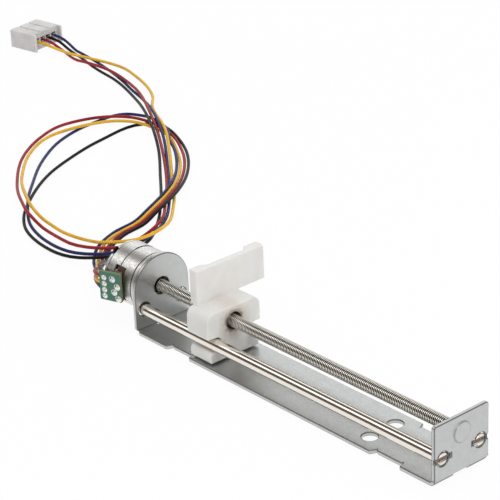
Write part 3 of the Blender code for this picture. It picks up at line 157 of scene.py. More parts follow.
# Bracket: its sheet, the end plate's outer face and the boss on it
SHEET = 0.001
END_FACE = 0.0501
BOSS_REACH = 0.0028
# Painted dark reflection where the sheet's faces turn over into their cut edges: its share round
# the boss, the leans where it starts and ends, its colour
BOSS_LINE = 0.35
EDGE_LEAN = (0.25, 0.3)
FACE_LEAN = (0.95, 0.97)
EDGE_REFLECTION_COLOUR = (132, 130, 127)

# Rods and the chisel grooves that stake them
ROD_HEIGHT = 0.00598
ROD_SIDE = 0.00565
# Radii where the rod ends' rims take a painted dark reflection
ROD_RIM_REFLECTION = (0.00138, 0.00142)
ROD_END_DEPTH = 0.0003
ROD_END_FACING = (0.55, 0.8)
ROD_COLOURS = ((243, 237, 229), (230, 223, 214))
# Brown of the torn chisel marks, also the painted dark reflection on the rod ends' rims
TORN_AND_REFLECTION_COLOURS = ((70, 58, 50), (150, 138, 128))
STAKE_WIDTH = 0.0011
STAKE_LENGTH = 0.0052
STAKE_DEPTH = 0.00035
STAKE_LIP = 0.00008
STAKE_COLOUR = (74, 66, 60)

# Board on the motor's side, with its solder: places along the board and heights
BOARD_REAR_X = -0.05965
BOARD_REAR_Y = -0.0107
BOARD_TURN = 18.6
BOARD_COLOURS = ((40, 92, 74), (72, 128, 104))
# Laminate at the board's cut edges, darkened by painted shade
SHADED_LAMINATE_COLOUR = (104, 122, 84)
WIRE_JOINT_INSET = 0.00135
WIRE_JOINT_HEIGHTS = (0.0080, 0.0096, 0.0112, 0.01285)
WIRE_JOINT_SCALE = 0.84
PIN_PLACES = ((0.0037, 0.0128), (0.0050, 0.01095), (0.0041, 0.0094), (0.0052, 0.0078))
SOLDER_PROFILE = ((0.0, 0.00066), (0.00018, 0.00064), (0.00022, 0.0005), (0.00034, 0.00042),
                  (0.00056, 0.00026), (0.00070, 0.00010), (0.00078, 0.00004), (0.00086, 0.00003),
                  (0.00086, -0.00002), (0.0, -0.00002))
SOLDER_STEPS = 24
SOLDER_ANGLE = 50.0

# Slabs in the can's openings: x from and to, radius from and to, degrees from +Y, broken edge
SECTORS = (
    ("window_resin", "brown_resin_finish", (-0.05865, -0.05500), (0.0058, 0.00693), (141.0, 212.0),
     0.0002),
    # The seam slit and the rim notch are filled with painted shade
    ("seam_shade", "gap_shade_finish", (-0.05732, -0.05688), (0.0073, 0.00754), (58.0, 98.0), 0.0),
    ("rim_notch_shade", "gap_shade_finish", (-0.06235, -0.06150), (0.0060, 0.00756), (112.0, 123.0), 0.00005),
)
SECTOR_STEP = 0.12
SECTOR_EDGE_ANGLE = 50.0

# Rings of painted shade inside the motor's gaps: x from and to, radius
GAP_SHADE_RINGS = ((-0.05220, -0.05180, 0.00725), (-0.05045, -0.05005, 0.00760))
GAP_RING_WALL = 0.0002
GAP_RING_SIDES = 64

# Metals: light and dark colour from 0 to 255, roughness of each, size of the grain, its stretch
# along X, Y and Z, and its height
SMALL_GRAIN = (0.0003, (1.0, 1.0, 1.0), 0.000003)
METALS = {
    "zinc_sheet_finish": ((204, 206, 205), (188, 190, 189), (0.30, 0.40),
                          0.00012, (5.0, 1.0, 1.0), 0.0000012),
    "drawn_can_finish": ((246, 245, 242), (206, 204, 200), (0.30, 0.46),
                         0.00028, (2.0, 1.0, 1.0), 0.000012),
    "bronze_finish": ((104, 86, 62), (72, 58, 40), (0.4, 0.55), *SMALL_GRAIN),
    "spring_finish": ((205, 204, 200), (170, 168, 164), (0.22, 0.35), *SMALL_GRAIN),
    "solder_finish": ((246, 246, 244), (216, 216, 212), (0.08, 0.2), *SMALL_GRAIN),
    "tinned_finish": ((225, 222, 212), (190, 186, 172), (0.2, 0.35), *SMALL_GRAIN),
    "copper_tail_finish": ((236, 214, 190), (200, 160, 130), (0.15, 0.3), *SMALL_GRAIN),
}

# White plastics; brown stains round the screw, and grease with painted shade in its bore: fading
# from and to, share, colour
ACETAL_COLOURS = ((221, 219, 215), (227, 226, 223))
NYLON_COLOURS = ((196, 194, 193), (212, 210, 209))
ACETAL_DEPTH = (0.0016, 0.0014, 0.0012)
STAIN_RAGGEDNESS = 0.0022
RAGGED_STAINS = ((0.0010, 0.0040, 0.5, (176, 150, 120)), (0.0009, 0.0020, 0.9, (98, 74, 52)))
BORE_GREASE_AND_SHADE = (0.0021, 0.0024, 0.85, (44, 32, 24))

# Other finishes
RESIN_COLOURS = ((62, 46, 36), (96, 74, 58))
WINDING_COLOURS = ((110, 52, 28), (196, 112, 66))
WINDING_TURNS = 2600.0
MAGNET_SHADES = ((0.02, 0.02, 0.022), (0.05, 0.05, 0.052))
GAP_SHADES = ((0.002, 0.002, 0.002), (0.009, 0.008, 0.007))

# Broken edges: node, width, slot, body
SHORT_EDGE = 0.00002
FLAT_ANGLE = 1.0
EDGE_ANGLE = 30.0
ROUND_ANGLE = 60.0
SOFT_EDGED = (
    ("bracket", 0.00022, "zinc_sheet", "frame"),
    ("slider", 0.00022, "white_acetal", "carriage"),
    ("motor_front_flange", 0.00010, "drawn_steel", "frame"),
    ("motor_front_cup", 0.00003, "drawn_steel", "frame"),
    ("motor_rear_cup", 0.00003, "drawn_steel", "frame"),
    ("motor_end_cap", 0.00020, "drawn_steel", "frame"),
    ("circuit_board", 0.00005, "green_laminate", "frame"),
    ("terminal_block", 0.00012, "bobbin_resin", "frame"),
    ("connector_housing", 0.00015, "connector_nylon", "frame"),
    ("guide_rod_near", 0.00008, "polished_steel", "frame"),
    ("guide_rod_far", 0.00008, "polished_steel", "frame"),
)

# Studio: each lamp's place, size and power, and each dark card's place and size
FLOOR_SIZE = 3.0
FLOOR_DROP = 0.0002
FLOOR_COLOUR = (0.90, 0.90, 0.90, 1.0)
FLOOR_GLOW = 0.94
SURROUND_LIGHT = 0.62
LAMP_AIM = (-0.03, 0.02, 0.0)
LAMPS = (("key_lamp", (0.42, -0.10, 1.00), (0.9, 0.7), 3.75),
         ("side_lamp", (1.05, 0.10, 0.42), (0.7, 0.5), 2.4),
         ("far_lamp", (-0.50, 0.56, 0.50), (1.1, 0.6), 1.1),
         ("strip_lamp", (-1.572, -0.906, 1.569), (2.7, 0.77), 7.2))
CARD_COLOUR = (0.16, 0.138, 0.112, 1.0)
DARK_CARDS = (("low_card", (-1.572, -1.703, 0.620), (2.7, 1.61)),
              ("high_card", (-1.572, 0.142, 1.806), (2.7, 1.21)),
              ("front_card", (0.56, 0.16, 0.66), (0.95, 0.36)))


def maths(tree, operation, first, second=0.0, clamp=False):
    """One arithmetic step between two sockets or numbers."""
    step = tree.nodes.new("ShaderNodeMath")
    step.operation = operation
    step.use_clamp = clamp
    for index, value in enumerate((first, second)):
        if isinstance(value, (int, float)):
            step.inputs[index].default_value = value
        else:
            tree.links.new(value, step.inputs[index])
    return step.outputs[0]


def both(tree, first, second):
    """Where two shares hold together."""
    return maths(tree, "MULTIPLY", first, second)


def distance(tree, across, up):
    """How far a point lies from an axis, given its two offsets."""
    return maths(tree, "SQRT", maths(tree, "ADD", maths(tree, "MULTIPLY", across, across),
                                     maths(tree, "MULTIPLY", up, up)))


def coordinate(tree, axis):
    """One object coordinate, in metres."""
    place = tree.nodes.new("ShaderNodeTexCoord")
    parts = tree.nodes.new("ShaderNodeSeparateXYZ")
    tree.links.new(place.outputs["Object"], parts.inputs[0])
    return parts.outputs[axis]


def facing(tree, axis, kind="Normal"):
    """One part of the surface's own direction, from -1 to 1."""
    shape = tree.nodes.new("ShaderNodeNewGeometry")
    parts = tree.nodes.new("ShaderNodeSeparateXYZ")
    tree.links.new(shape.outputs[kind], parts.inputs[0])
    return parts.outputs[axis]


def screw_distance(tree):
    """How far a point lies from the screw's axis."""
    return distance(tree, coordinate(tree, "Y"),
                    maths(tree, "SUBTRACT", coordinate(tree, "Z"), AXIS_HEIGHT))


def rod_offsets(tree):
    """How far a point lies beside and above the nearer rod's axis."""
    beside = maths(tree, "SUBTRACT", maths(tree, "ABSOLUTE", coordinate(tree, "Y")), ROD_SIDE)
    return beside, maths(tree, "SUBTRACT", coordinate(tree, "Z"), ROD_HEIGHT)


def speckle(tree, size, stretch=(1.0, 1.0, 1.0), detail=3.0):
    """Noise with features of about the given size in metres, as a value round 0.5."""
    place = tree.nodes.new("ShaderNodeTexCoord")
    lay = tree.nodes.new("ShaderNodeMapping")
    noise = tree.nodes.new("ShaderNodeTexNoise")
    lay.inputs["Scale"].default_value = [1.0 / (size * part) for part in stretch]
    noise.inputs["Scale"].default_value = 1.0
    noise.inputs["Detail"].default_value = detail
    tree.links.new(place.outputs["Object"], lay.inputs["Vector"])
    tree.links.new(lay.outputs["Vector"], noise.inputs["Vector"])
    return noise.outputs["Fac"]


def spread(tree, value, low, high, to_low=0.0, to_high=1.0):
    """Stretch a value from one range to another, held at the ends."""
    step = tree.nodes.new("ShaderNodeMapRange")
    for name, number in (("From Min", low), ("From Max", high), ("To Min", to_low),
                         ("To Max", to_high)):
        step.inputs[name].default_value = number
    tree.links.new(value, step.inputs["Value"])
    return step.outputs["Result"]


def linear(red, green, blue):
    """A colour written from 0 to 255, as the shader wants it."""
    return tuple(((part / 255 + 0.055) / 1.055) ** 2.4 if part > 10 else part / 255 / 12.92
                 for part in (red, green, blue))


def blend_colours(tree, share, first, second):
    """Mix two colours, each a socket or a plain triple."""
    mix = tree.nodes.new("ShaderNodeMix")
    mix.data_type = "RGBA"
    tree.links.new(share, mix.inputs["Factor"])
    for socket, colour in ((mix.inputs[6], first), (mix.inputs[7], second)):
        if isinstance(colour, tuple):
            socket.default_value = (*colour, 1.0)
        else:
            tree.links.new(colour, socket)
    return mix.outputs[2]


def start_finish(name, metallic=0.0, specular=0.5):
    """An empty material with its shader."""
    finish = bpy.data.materials.new(name)
    finish.use_nodes = True
    shader = finish.node_tree.nodes["Principled BSDF"]
    shader.inputs["Metallic"].default_value = metallic
    shader.inputs["Specular IOR Level"].default_value = specular
    return finish, finish.node_tree, shader


def colour_and_gloss(tree, shader, colour, roughness):
    """Give the shader its colour and its roughness."""
    tree.links.new(colour, shader.inputs["Base Color"])
    tree.links.new(roughness, shader.inputs["Roughness"])


def bump(tree, shader, value, height):
    """Raise the surface by a value times a height in metres."""
    raised = tree.nodes.new("ShaderNodeBump")
    raised.inputs["Strength"].default_value = 1.0
    raised.inputs["Distance"].default_value = height
    tree.links.new(value, raised.inputs["Height"])
    tree.links.new(raised.outputs["Normal"], shader.inputs["Normal"])


def metal_finish(name):
    """Metal with a grain: its colour, gloss and height follow stretched noise."""
    light, dark, (smooth, rough), size, stretch, height = METALS[name]
    finish, tree, shader = start_finish(name, 1.0)
    grain = speckle(tree, size, stretch, 5.0)
    cloud = speckle(tree, size * 14, detail=2.0)
    share = spread(tree, maths(tree, "ADD", maths(tree, "MULTIPLY", grain, 0.75),
                               maths(tree, "MULTIPLY", cloud, 0.25)), 0.36, 0.64)
    colour_and_gloss(tree, shader, blend_colours(tree, share, linear(*dark), linear(*light)),
                     spread(tree, grain, 0.3, 0.7, rough, smooth))
    bump(tree, shader, grain, height)
    return finish


def stake_mark(tree):
    """One in the chisel grooves beside the rods' ends, nought elsewhere."""
    beside, above = rod_offsets(tree)
    along = spread(tree, maths(tree, "ABSOLUTE", beside), STAKE_LENGTH * 0.5, STAKE_LENGTH * 0.54,
                   1.0, 0.0)
    across = spread(tree, maths(tree, "ABSOLUTE", above), STAKE_WIDTH * 0.5, STAKE_WIDTH * 0.6,
                    1.0, 0.0)
    groove_floor = END_FACE - STAKE_DEPTH
    sunk = both(tree, spread(tree, coordinate(tree, "X"), groove_floor, groove_floor + 0.00005),
                spread(tree, coordinate(tree, "X"), END_FACE - STAKE_LIP, END_FACE - STAKE_LIP / 4,
                       1.0, 0.0))
    return both(tree, both(tree, along, across), sunk)


def edge_reflection_mask(tree):
    """Painted dark reflection: one where a face of the sheet turns over into its cut edge, less
    round the boss.
    """
    in_base = spread(tree, coordinate(tree, "Z"), SHEET * 1.04, SHEET * 1.06, 1.0, 0.0)
    base_lean = maths(tree, "ABSOLUTE", facing(tree, "Z", "True Normal"))
    plate_lean = maths(tree, "ABSOLUTE", facing(tree, "X", "True Normal"))
    lean = maths(tree, "ADD", both(tree, base_lean, in_base),
                 both(tree, plate_lean, maths(tree, "SUBTRACT", 1.0, in_base)))
    turned = both(tree, spread(tree, lean, *EDGE_LEAN), spread(tree, lean, *FACE_LEAN, 1.0, 0.0))
    past_boss = spread(tree, screw_distance(tree), BOSS_REACH, BOSS_REACH + 0.0001, BOSS_LINE, 1.0)
    return both(tree, turned, past_boss)


def sheet_finish():
    """Zinc-plated sheet: satin grey with faint rolling marks and darker grooves; a painted dark
    reflection where each face turns over into its cut edge.
    """
    finish = metal_finish("zinc_sheet_finish")
    tree = finish.node_tree
    colour = tree.nodes["Principled BSDF"].inputs["Base Color"]
    plated = colour.links[0].from_socket
    marked = blend_colours(tree, stake_mark(tree), plated, linear(*STAKE_COLOUR))
    tree.links.new(blend_colours(tree, edge_reflection_mask(tree), marked, linear(*EDGE_REFLECTION_COLOUR)), colour)
    return finish


def rod_finish():
    """Ground and polished rod; the chisel mark across its end is rough and brown, and the rim of
    its end has a painted dark reflection in that brown.
    """
    finish, tree, shader = start_finish("polished_rod_finish", 1.0)
    rings = speckle(tree, 0.00006, (1.0, 14.0, 14.0), 5.0)
    beside, above = rod_offsets(tree)
    end = spread(tree, facing(tree, "X"), *ROD_END_FACING)
    chiselled = both(tree, end, spread(tree, maths(tree, "ABSOLUTE", above), STAKE_WIDTH * 0.36,
                                       STAKE_WIDTH * 0.5, 1.0, 0.0))
    near_end = spread(tree, coordinate(tree, "X"), END_FACE - ROD_END_DEPTH,
                      END_FACE - ROD_END_DEPTH + 0.0001)
    # The rim of the rod's end: painted dark reflection
    rim = both(tree, near_end, spread(tree, distance(tree, beside, above), *ROD_RIM_REFLECTION))
    torn_and_reflection = blend_colours(tree, spread(tree, speckle(tree, 0.0002, (1.0, 1.0, 3.0)), 0.35, 0.65),
                         linear(*TORN_AND_REFLECTION_COLOURS[0]), linear(*TORN_AND_REFLECTION_COLOURS[1]))
    ground = blend_colours(tree, rings, linear(*ROD_COLOURS[0]), linear(*ROD_COLOURS[1]))
    colour_and_gloss(tree, shader,
                     blend_colours(tree, maths(tree, "MAXIMUM", chiselled, rim), ground, torn_and_reflection),
                     maths(tree, "ADD", spread(tree, rings, 0.3, 0.7, 0.08, 0.15),
                           maths(tree, "MULTIPLY", end, 0.2)))
    bump(tree, shader, rings, 0.0000006)
    return finish


def screw_finish():
    """Rolled thread: crests painted near white as a highlight; roots dark brown, grease with
    painted shade.
    """
    finish, tree, shader = start_finish("rolled_thread_finish", 0.93)
    crest = spread(tree, screw_distance(tree), GREASE_AND_SHADE_TOP, HIGHLIGHT_FROM)
    grain = speckle(tree, 0.0004, detail=4.0)
    grease_and_shade = blend_colours(tree, spread(tree, grain, 0.35, 0.65), linear(*GREASE_AND_SHADE_COLOURS[0]),
                           linear(*GREASE_AND_SHADE_COLOURS[1]))
    colour_and_gloss(tree, shader, blend_colours(tree, crest, grease_and_shade, linear(*CREST_HIGHLIGHT_COLOUR)),
                     spread(tree, crest, 0.0, 1.0, 0.30, 0.22))
    return finish


def acetal_finish(name, colours, stained_and_shaded=False):
    """White plastic: slightly see-through, faint sink marks; stained brown round the screw, the
    bore dark brown with grease and painted shade.
    """
    finish, tree, shader = start_finish(name)
    shader.inputs["Subsurface Weight"].default_value = 0.35
    shader.inputs["Subsurface Radius"].default_value = ACETAL_DEPTH
    shader.inputs["Subsurface Scale"].default_value = 1.0
    colour = blend_colours(tree, spread(tree, speckle(tree, 0.0035), 0.3, 0.7), linear(*colours[0]),
                           linear(*colours[1]))
    if stained_and_shaded:
        ragged = speckle(tree, 0.0009, detail=4.0)
        reach = maths(tree, "SUBTRACT", screw_distance(tree),
                      maths(tree, "MULTIPLY", ragged, STAIN_RAGGEDNESS))
        for near, far, share, brown in RAGGED_STAINS:
            colour = blend_colours(tree, spread(tree, reach, near, far, share, 0.0), colour,
                                   linear(*brown))
        # The bore and its mouth: grease with painted shade
        near, far, share, brown = BORE_GREASE_AND_SHADE
        colour = blend_colours(tree, spread(tree, screw_distance(tree), near, far, share, 0.0),
                               colour, linear(*brown))
    colour_and_gloss(tree, shader, colour, spread(tree, speckle(tree, 0.0006), 0.3, 0.7, 0.38, 0.5))
    bump(tree, shader, speckle(tree, 0.00035), 0.000006)
    return finish


def insulation_finish(name, light, shade):
    """Soft vinyl wire cover with a dull shine."""
    finish, tree, shader = start_finish(name, 0.0, 0.18)
    colour_and_gloss(tree, shader,
                     blend_colours(tree, spread(tree, speckle(tree, 0.004), 0.35, 0.65),
                                   linear(*light), linear(*shade)),
                     spread(tree, speckle(tree, 0.0009), 0.3, 0.7, 0.28, 0.42))
    bump(tree, shader, speckle(tree, 0.0006), 0.000003)
    return finish


def board_finish():
    """Green solder resist over copper, with pale glass laminate at the cut edges, darkened by
    painted shade.
    """
    finish, tree, shader = start_finish("board_finish")
    weave = speckle(tree, 0.0002, detail=4.0)
    green = blend_colours(tree, spread(tree, weave, 0.3, 0.7), linear(*BOARD_COLOURS[0]),
                          linear(*BOARD_COLOURS[1]))
    turn = math.radians(BOARD_TURN)
    square_on = maths(tree, "ABSOLUTE", maths(
        tree, "ADD", maths(tree, "MULTIPLY", facing(tree, "X"), math.sin(turn)),
        maths(tree, "MULTIPLY", facing(tree, "Y"), -math.cos(turn))))
    edge = spread(tree, square_on, 0.75, 0.9, 1.0, 0.0)
    colour_and_gloss(tree, shader, blend_colours(tree, edge, green, linear(*SHADED_LAMINATE_COLOUR)),
                     spread(tree, edge, 0.0, 1.0, 0.3, 0.6))
    bump(tree, shader, weave, 0.000008)
    return finish


def resin_finish():
    """Dark brown moulded resin of the bobbins and the terminal block."""
    finish, tree, shader = start_finish("brown_resin_finish")
    grain = speckle(tree, 0.0003, detail=4.0)
    colour_and_gloss(tree, shader,
                     blend_colours(tree, spread(tree, grain, 0.3, 0.7), linear(*RESIN_COLOURS[0]),
                                   linear(*RESIN_COLOURS[1])),
                     spread(tree, grain, 0.3, 0.7, 0.4, 0.6))
    bump(tree, shader, grain, 0.00001)
    return finish


def magnet_finish():
    """Black bonded magnet, matt and grainy."""
    finish, tree, shader = start_finish("magnet_finish")
    grain = speckle(tree, 0.00015, detail=4.0)
    colour_and_gloss(tree, shader, blend_colours(tree, grain, *MAGNET_SHADES),
                     spread(tree, grain, 0.3, 0.7, 0.5, 0.7))
    return finish


def painted_gap_shade():
    """Painted shade for the unlit inside of a gap: near black, faintly mottled."""
    finish, tree, shader = start_finish("gap_shade_finish", 0.0, 0.05)
    tree.links.new(blend_colours(tree, speckle(tree, 0.0003), *GAP_SHADES),
                   shader.inputs["Base Color"])
    shader.inputs["Roughness"].default_value = 0.9
    return finish


def winding_finish():
    """Enamelled copper wire, wound round the motor's axis."""
    finish, tree, shader = start_finish("winding_finish", 0.9)
    turns = tree.nodes.new("ShaderNodeTexWave")
    place = tree.nodes.new("ShaderNodeTexCoord")
    turns.bands_direction = "X"
    turns.inputs["Scale"].default_value = WINDING_TURNS
    tree.links.new(place.outputs["Object"], turns.inputs["Vector"])
    tree.links.new(blend_colours(tree, turns.outputs["Fac"], linear(*WINDING_COLOURS[0]),
                                 linear(*WINDING_COLOURS[1])), shader.inputs["Base Color"])
    shader.inputs["Roughness"].default_value = 0.3
    bump(tree, shader, turns.outputs["Fac"], 0.00003)
    return finish


def dress_solids():
    """Give every solid its own finish, also those that a piece below takes the place of."""
    can = metal_finish("drawn_can_finish")
    rod = rod_finish()
    resin = resin_finish()
    bronze = metal_finish("bronze_finish")
    solder = metal_finish("solder_finish")
    tinned = metal_finish("tinned_finish")
    winding = winding_finish()
    finishes = {
        "bracket": sheet_finish(),
        "guide_rod_near": rod,
        "guide_rod_far": rod,
        "lead_screw": screw_finish(),
        "pivot_ball": rod,
        "pivot_seat": acetal_finish("pivot_acetal_finish", ACETAL_COLOURS),
        "slider": acetal_finish("slider_acetal_finish", ACETAL_COLOURS, stained_and_shaded=True),
        "motor_front_flange": can,
        "motor_front_cup": can,
        "motor_rear_cup": can,
        "motor_end_cap": can,
        "front_yoke": can,
        "rear_yoke": can,
        "front_bobbin": resin,
        "rear_bobbin": resin,
        "front_winding": winding,
        "rear_winding": winding,
        "rotor_magnet": magnet_finish(),
        "front_bearing": bronze,
        "rear_bearing": bronze,
        "preload_spring": metal_finish("spring_finish"),
        "terminal_block": resin,
        "circuit_board": board_finish(),
        "connector_housing": acetal_finish("nylon_finish", NYLON_COLOURS),
    }
    for number in range(1, 5):
        finishes["terminal_pin_%d" % number] = solder
        finishes["wire_joint_%d" % number] = solder
        finishes["connector_contact_%d" % number] = tinned
    for name, finish in finishes.items():
        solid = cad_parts[name]
        solid.data.materials.clear()
        solid.data.materials.append(finish)


def new_object(name, data):
    """An object with the given data, in the scene."""
    made = bpy.data.objects.new(name, data)
    bpy.context.scene.collection.objects.link(made)
    return made


def finished_mesh(name, work, finish):
    """A mesh of one finish from a bmesh, which is then done with."""
    mesh = bpy.data.meshes.new(name)
    work.to_mesh(mesh)
    work.free()
    mesh.materials.append(finish)
    return mesh


def add_piece(name, work, finish, body, angle):
    """Link a finished bmesh as a smooth piece that rides on a body, sharp above an angle."""
    piece = new_object(name, finished_mesh(name, work, finish))
    piece.data.shade_smooth()
    piece.data.set_sharp_from_angle(angle=math.radians(angle))
    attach(piece, body)
    return piece


def draw_line(work, places):
    """A chain of edges through the given places."""
    points = [work.verts.new(place) for place in places]
    for here, ahead in zip(points, points[1:]):
        work.edges.new((here, ahead))


def close_ends(work):
    """Fill every open rim."""
    rims = [edge for edge in work.edges if len(edge.link_faces) == 1]
    bmesh.ops.holes_fill(work, edges=rims, sides=0)


def break_edges(work, angle, width, clamp):
    """Bevel the edges where faces meet at more than an angle."""
    edges = [edge for edge in work.edges
             if len(edge.link_faces) == 2 and edge.calc_face_angle() > math.radians(angle)]
    bmesh.ops.bevel(work, geom=edges, offset=width, offset_type="OFFSET", segments=2, profile=0.5,
                    affect="EDGES", clamp_overlap=clamp, material=-1)


def along_axis(x):
    """Lays a shape made round the Z axis along the screw's axis, at a place on it."""
    return Matrix.Translation((x, 0, AXIS_HEIGHT)) @ Matrix.Rotation(math.pi / 2, 4, "Y")


def round_wire(name, radius, steps, finish):
    """An empty curve with the thickness of a wire."""
    curve = bpy.data.curves.new(name, "CURVE")
    curve.dimensions = "3D"
    curve.bevel_depth = radius
    curve.bevel_resolution = steps
    curve.use_fill_caps = True
    curve.materials.append(finish)
    return curve


def smooth_route(points):
    """Places read from a smooth curve through the chosen points, kept just above the floor."""
    chosen = [Vector(point) for point in points]
    gaps = [(ahead - here).length for here, ahead in zip(chosen, chosen[1:])]
    slopes = [(ahead - here) / gap for here, ahead, gap in zip(chosen, chosen[1:], gaps)]
    headings = [slopes[0]]
    for behind, before, gap_behind, gap_before in zip(slopes, slopes[1:], gaps, gaps[1:]):
        headings.append((behind * gap_before + before * gap_behind) / (gap_behind + gap_before))
    headings.append(slopes[-1])
    places = []
    for here, ahead, gap, leaving, meeting in zip(chosen, chosen[1:], gaps, headings, headings[1:]):
        places += interpolate_bezier(here, here + leaving * gap / 3, ahead - meeting * gap / 3,
                                     ahead, ROUTE_READINGS + 1)[:-1]
    places.append(chosen[-1])
    for place in places:
        place.z = max(place.z, WIRE_RADIUS + WIRE_LIFT)
    return places


def add_wires():
    """The four insulated wires, from the board to the connector."""
    for colour, points in WIRE_ROUTES.items():
        places = smooth_route(points)
        finish = insulation_finish(colour + "_vinyl", *WIRE_COLOURS[colour])
        curve = round_wire("cord_" + colour, WIRE_RADIUS, 4, finish)
        spline = curve.splines.new("POLY")
        spline.points.add(len(places) - 1)
        for point, place in zip(spline.points, places):
            point.co = (*place, 1.0)
        spline.use_smooth = True
        cord = new_object("cord_" + colour, curve)
        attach(cord, "frame")
        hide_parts("wire_" + colour)


def declare_wires():
    """Work out each wire's route again, in the connector's order; nothing is made or kept."""
    for number, colour in enumerate(CONNECTOR_ORDER, 1):
        places = smooth_route(WIRE_ROUTES[colour])


def add_threaded_screw():
    """The lead screw: a rolled M3 x 0.5 thread and the plain journal behind it."""
    low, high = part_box("lead_screw")
    thread_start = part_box("bracket")[0].x + SHEET / 2
    turns = math.ceil((high.x - thread_start) / THREAD_PITCH) + 2
    work = bmesh.new()
    draw_line(work, [((share - 1) * THREAD_PITCH, 0.0, radius) for share, radius in THREAD_PROFILE])
    bmesh.ops.spin(work, geom=work.verts[:] + work.edges[:], cent=(0, 0, 0), axis=(1, 0, 0),
                   dvec=(THREAD_PITCH / THREAD_STEPS, 0, 0), angle=math.tau, steps=THREAD_STEPS,
                   use_merge=False)
    made = 1
    while made < turns:
        copied = bmesh.ops.duplicate(work, geom=work.verts[:] + work.edges[:] + work.faces[:])
        verts = [item for item in copied["geom"] if isinstance(item, bmesh.types.BMVert)]
        bmesh.ops.translate(work, vec=(THREAD_PITCH * made, 0, 0), verts=verts)
        made *= 2
    bmesh.ops.remove_doubles(work, verts=work.verts, dist=0.00001)
    bmesh.ops.translate(work, vec=(thread_start, 0, AXIS_HEIGHT), verts=work.verts)
    for cut_x, side in ((thread_start, -1), (high.x, 1)):
        bmesh.ops.bisect_plane(work, geom=work.verts[:] + work.edges[:] + work.faces[:],
                               dist=0.0000001, plane_co=(cut_x, 0, 0), plane_no=(side, 0, 0),
                               clear_outer=True)
    close_ends(work)
    journal = bmesh.ops.create_cone(work, cap_ends=True, segments=JOURNAL_SIDES,
                                    radius1=JOURNAL_RADIUS, radius2=JOURNAL_RADIUS,
                                    depth=thread_start - low.x)
    bmesh.ops.transform(work, matrix=along_axis((low.x + thread_start) / 2), verts=journal["verts"])
    bmesh.ops.recalc_face_normals(work, faces=work.faces)
    screw = add_piece("threaded_screw", work, bpy.data.materials["rolled_thread_finish"], "rotor",
                      THREAD_ANGLE)
    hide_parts("lead_screw")


def add_soft_edges():
    """Copies of the solids whose edges show, with their edges broken as on the real pieces."""
    for name, width, slot, body in SOFT_EDGED:
        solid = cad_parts[name]
        work = bmesh.new()
        work.from_mesh(solid.data)
        bmesh.ops.remove_doubles(work, verts=work.verts, dist=SHORT_EDGE)
        bmesh.ops.dissolve_limit(work, angle_limit=math.radians(FLAT_ANGLE), verts=work.verts,
                                 edges=work.edges, delimit=set())
        break_edges(work, EDGE_ANGLE, width, clamp=False)
        bmesh.ops.recalc_face_normals(work, faces=work.faces)
        piece = add_piece("dressed_" + name, work, solid.data.materials[0], body, ROUND_ANGLE)
        level = piece.modifiers.new("flat_faces", "WEIGHTED_NORMAL")
        level.keep_sharp = True
        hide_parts(name)


def add_solder():
    """Glossy solder domes on the board, each with its pad and the tip of a pin or a wire."""
    board = Matrix.Translation((BOARD_REAR_X, BOARD_REAR_Y, 0.0)) @ Matrix.Rotation(
        math.radians(BOARD_TURN), 4, "Z")
    finish = bpy.data.materials["solder_finish"]
    marks = [("wire_joint_%d" % number, WIRE_JOINT_INSET, height, WIRE_JOINT_SCALE)
             for number, height in enumerate(WIRE_JOINT_HEIGHTS, 1)]
    marks += [("terminal_pin_%d" % number, along, height, 1.0)
              for number, (along, height) in enumerate(PIN_PLACES, 1)]
    for name, along, height, scale in marks:
        work = bmesh.new()
        draw_line(work, [(radius * scale, 0.0, lift) for radius, lift in SOLDER_PROFILE])
        bmesh.ops.spin(work, geom=work.verts[:] + work.edges[:], cent=(0, 0, 0), axis=(0, 0, 1),
                       angle=math.tau, steps=SOLDER_STEPS, use_merge=True)
        bmesh.ops.remove_doubles(work, verts=work.verts, dist=0.000001)
        close_ends(work)
        bmesh.ops.recalc_face_normals(work, faces=work.faces)
        lay = board @ Matrix.Translation((along, 0.0, height)) @ Matrix.Rotation(
            math.pi / 2, 4, "X")
        bmesh.ops.transform(work, matrix=lay, verts=work.verts)
        dome = add_piece("solder_" + name, work, finish, "frame", SOLDER_ANGLE)
        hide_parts(name)


def add_sector(name, finish, ends, radii, angles, width):
    """A curved slab round the motor's axis."""
    work = bmesh.new()
    (back, front), (inner, outer) = ends, radii
    work.faces.new([work.verts.new((x, 0.0, radius)) for x, radius in (
        (back, inner), (front, inner), (front, outer), (back, outer))])
    start = Matrix.Rotation(math.radians(angles[0] - 90), 4, "X")
    bmesh.ops.transform(work, matrix=start, verts=work.verts)
    turn = math.radians(angles[1] - angles[0])
    bmesh.ops.spin(work, geom=work.verts[:] + work.edges[:] + work.faces[:], cent=(0, 0, 0),
                   axis=(1, 0, 0), angle=turn, steps=max(2, int(turn / SECTOR_STEP)),
                   use_merge=False)
    bmesh.ops.remove_doubles(work, verts=work.verts, dist=0.000001)
    bmesh.ops.recalc_face_normals(work, faces=work.faces)
    if width:
        break_edges(work, SECTOR_EDGE_ANGLE, width, clamp=True)
    bmesh.ops.translate(work, vec=(0, 0, AXIS_HEIGHT), verts=work.verts)
    add_piece(name, work, finish, "frame", EDGE_ANGLE)


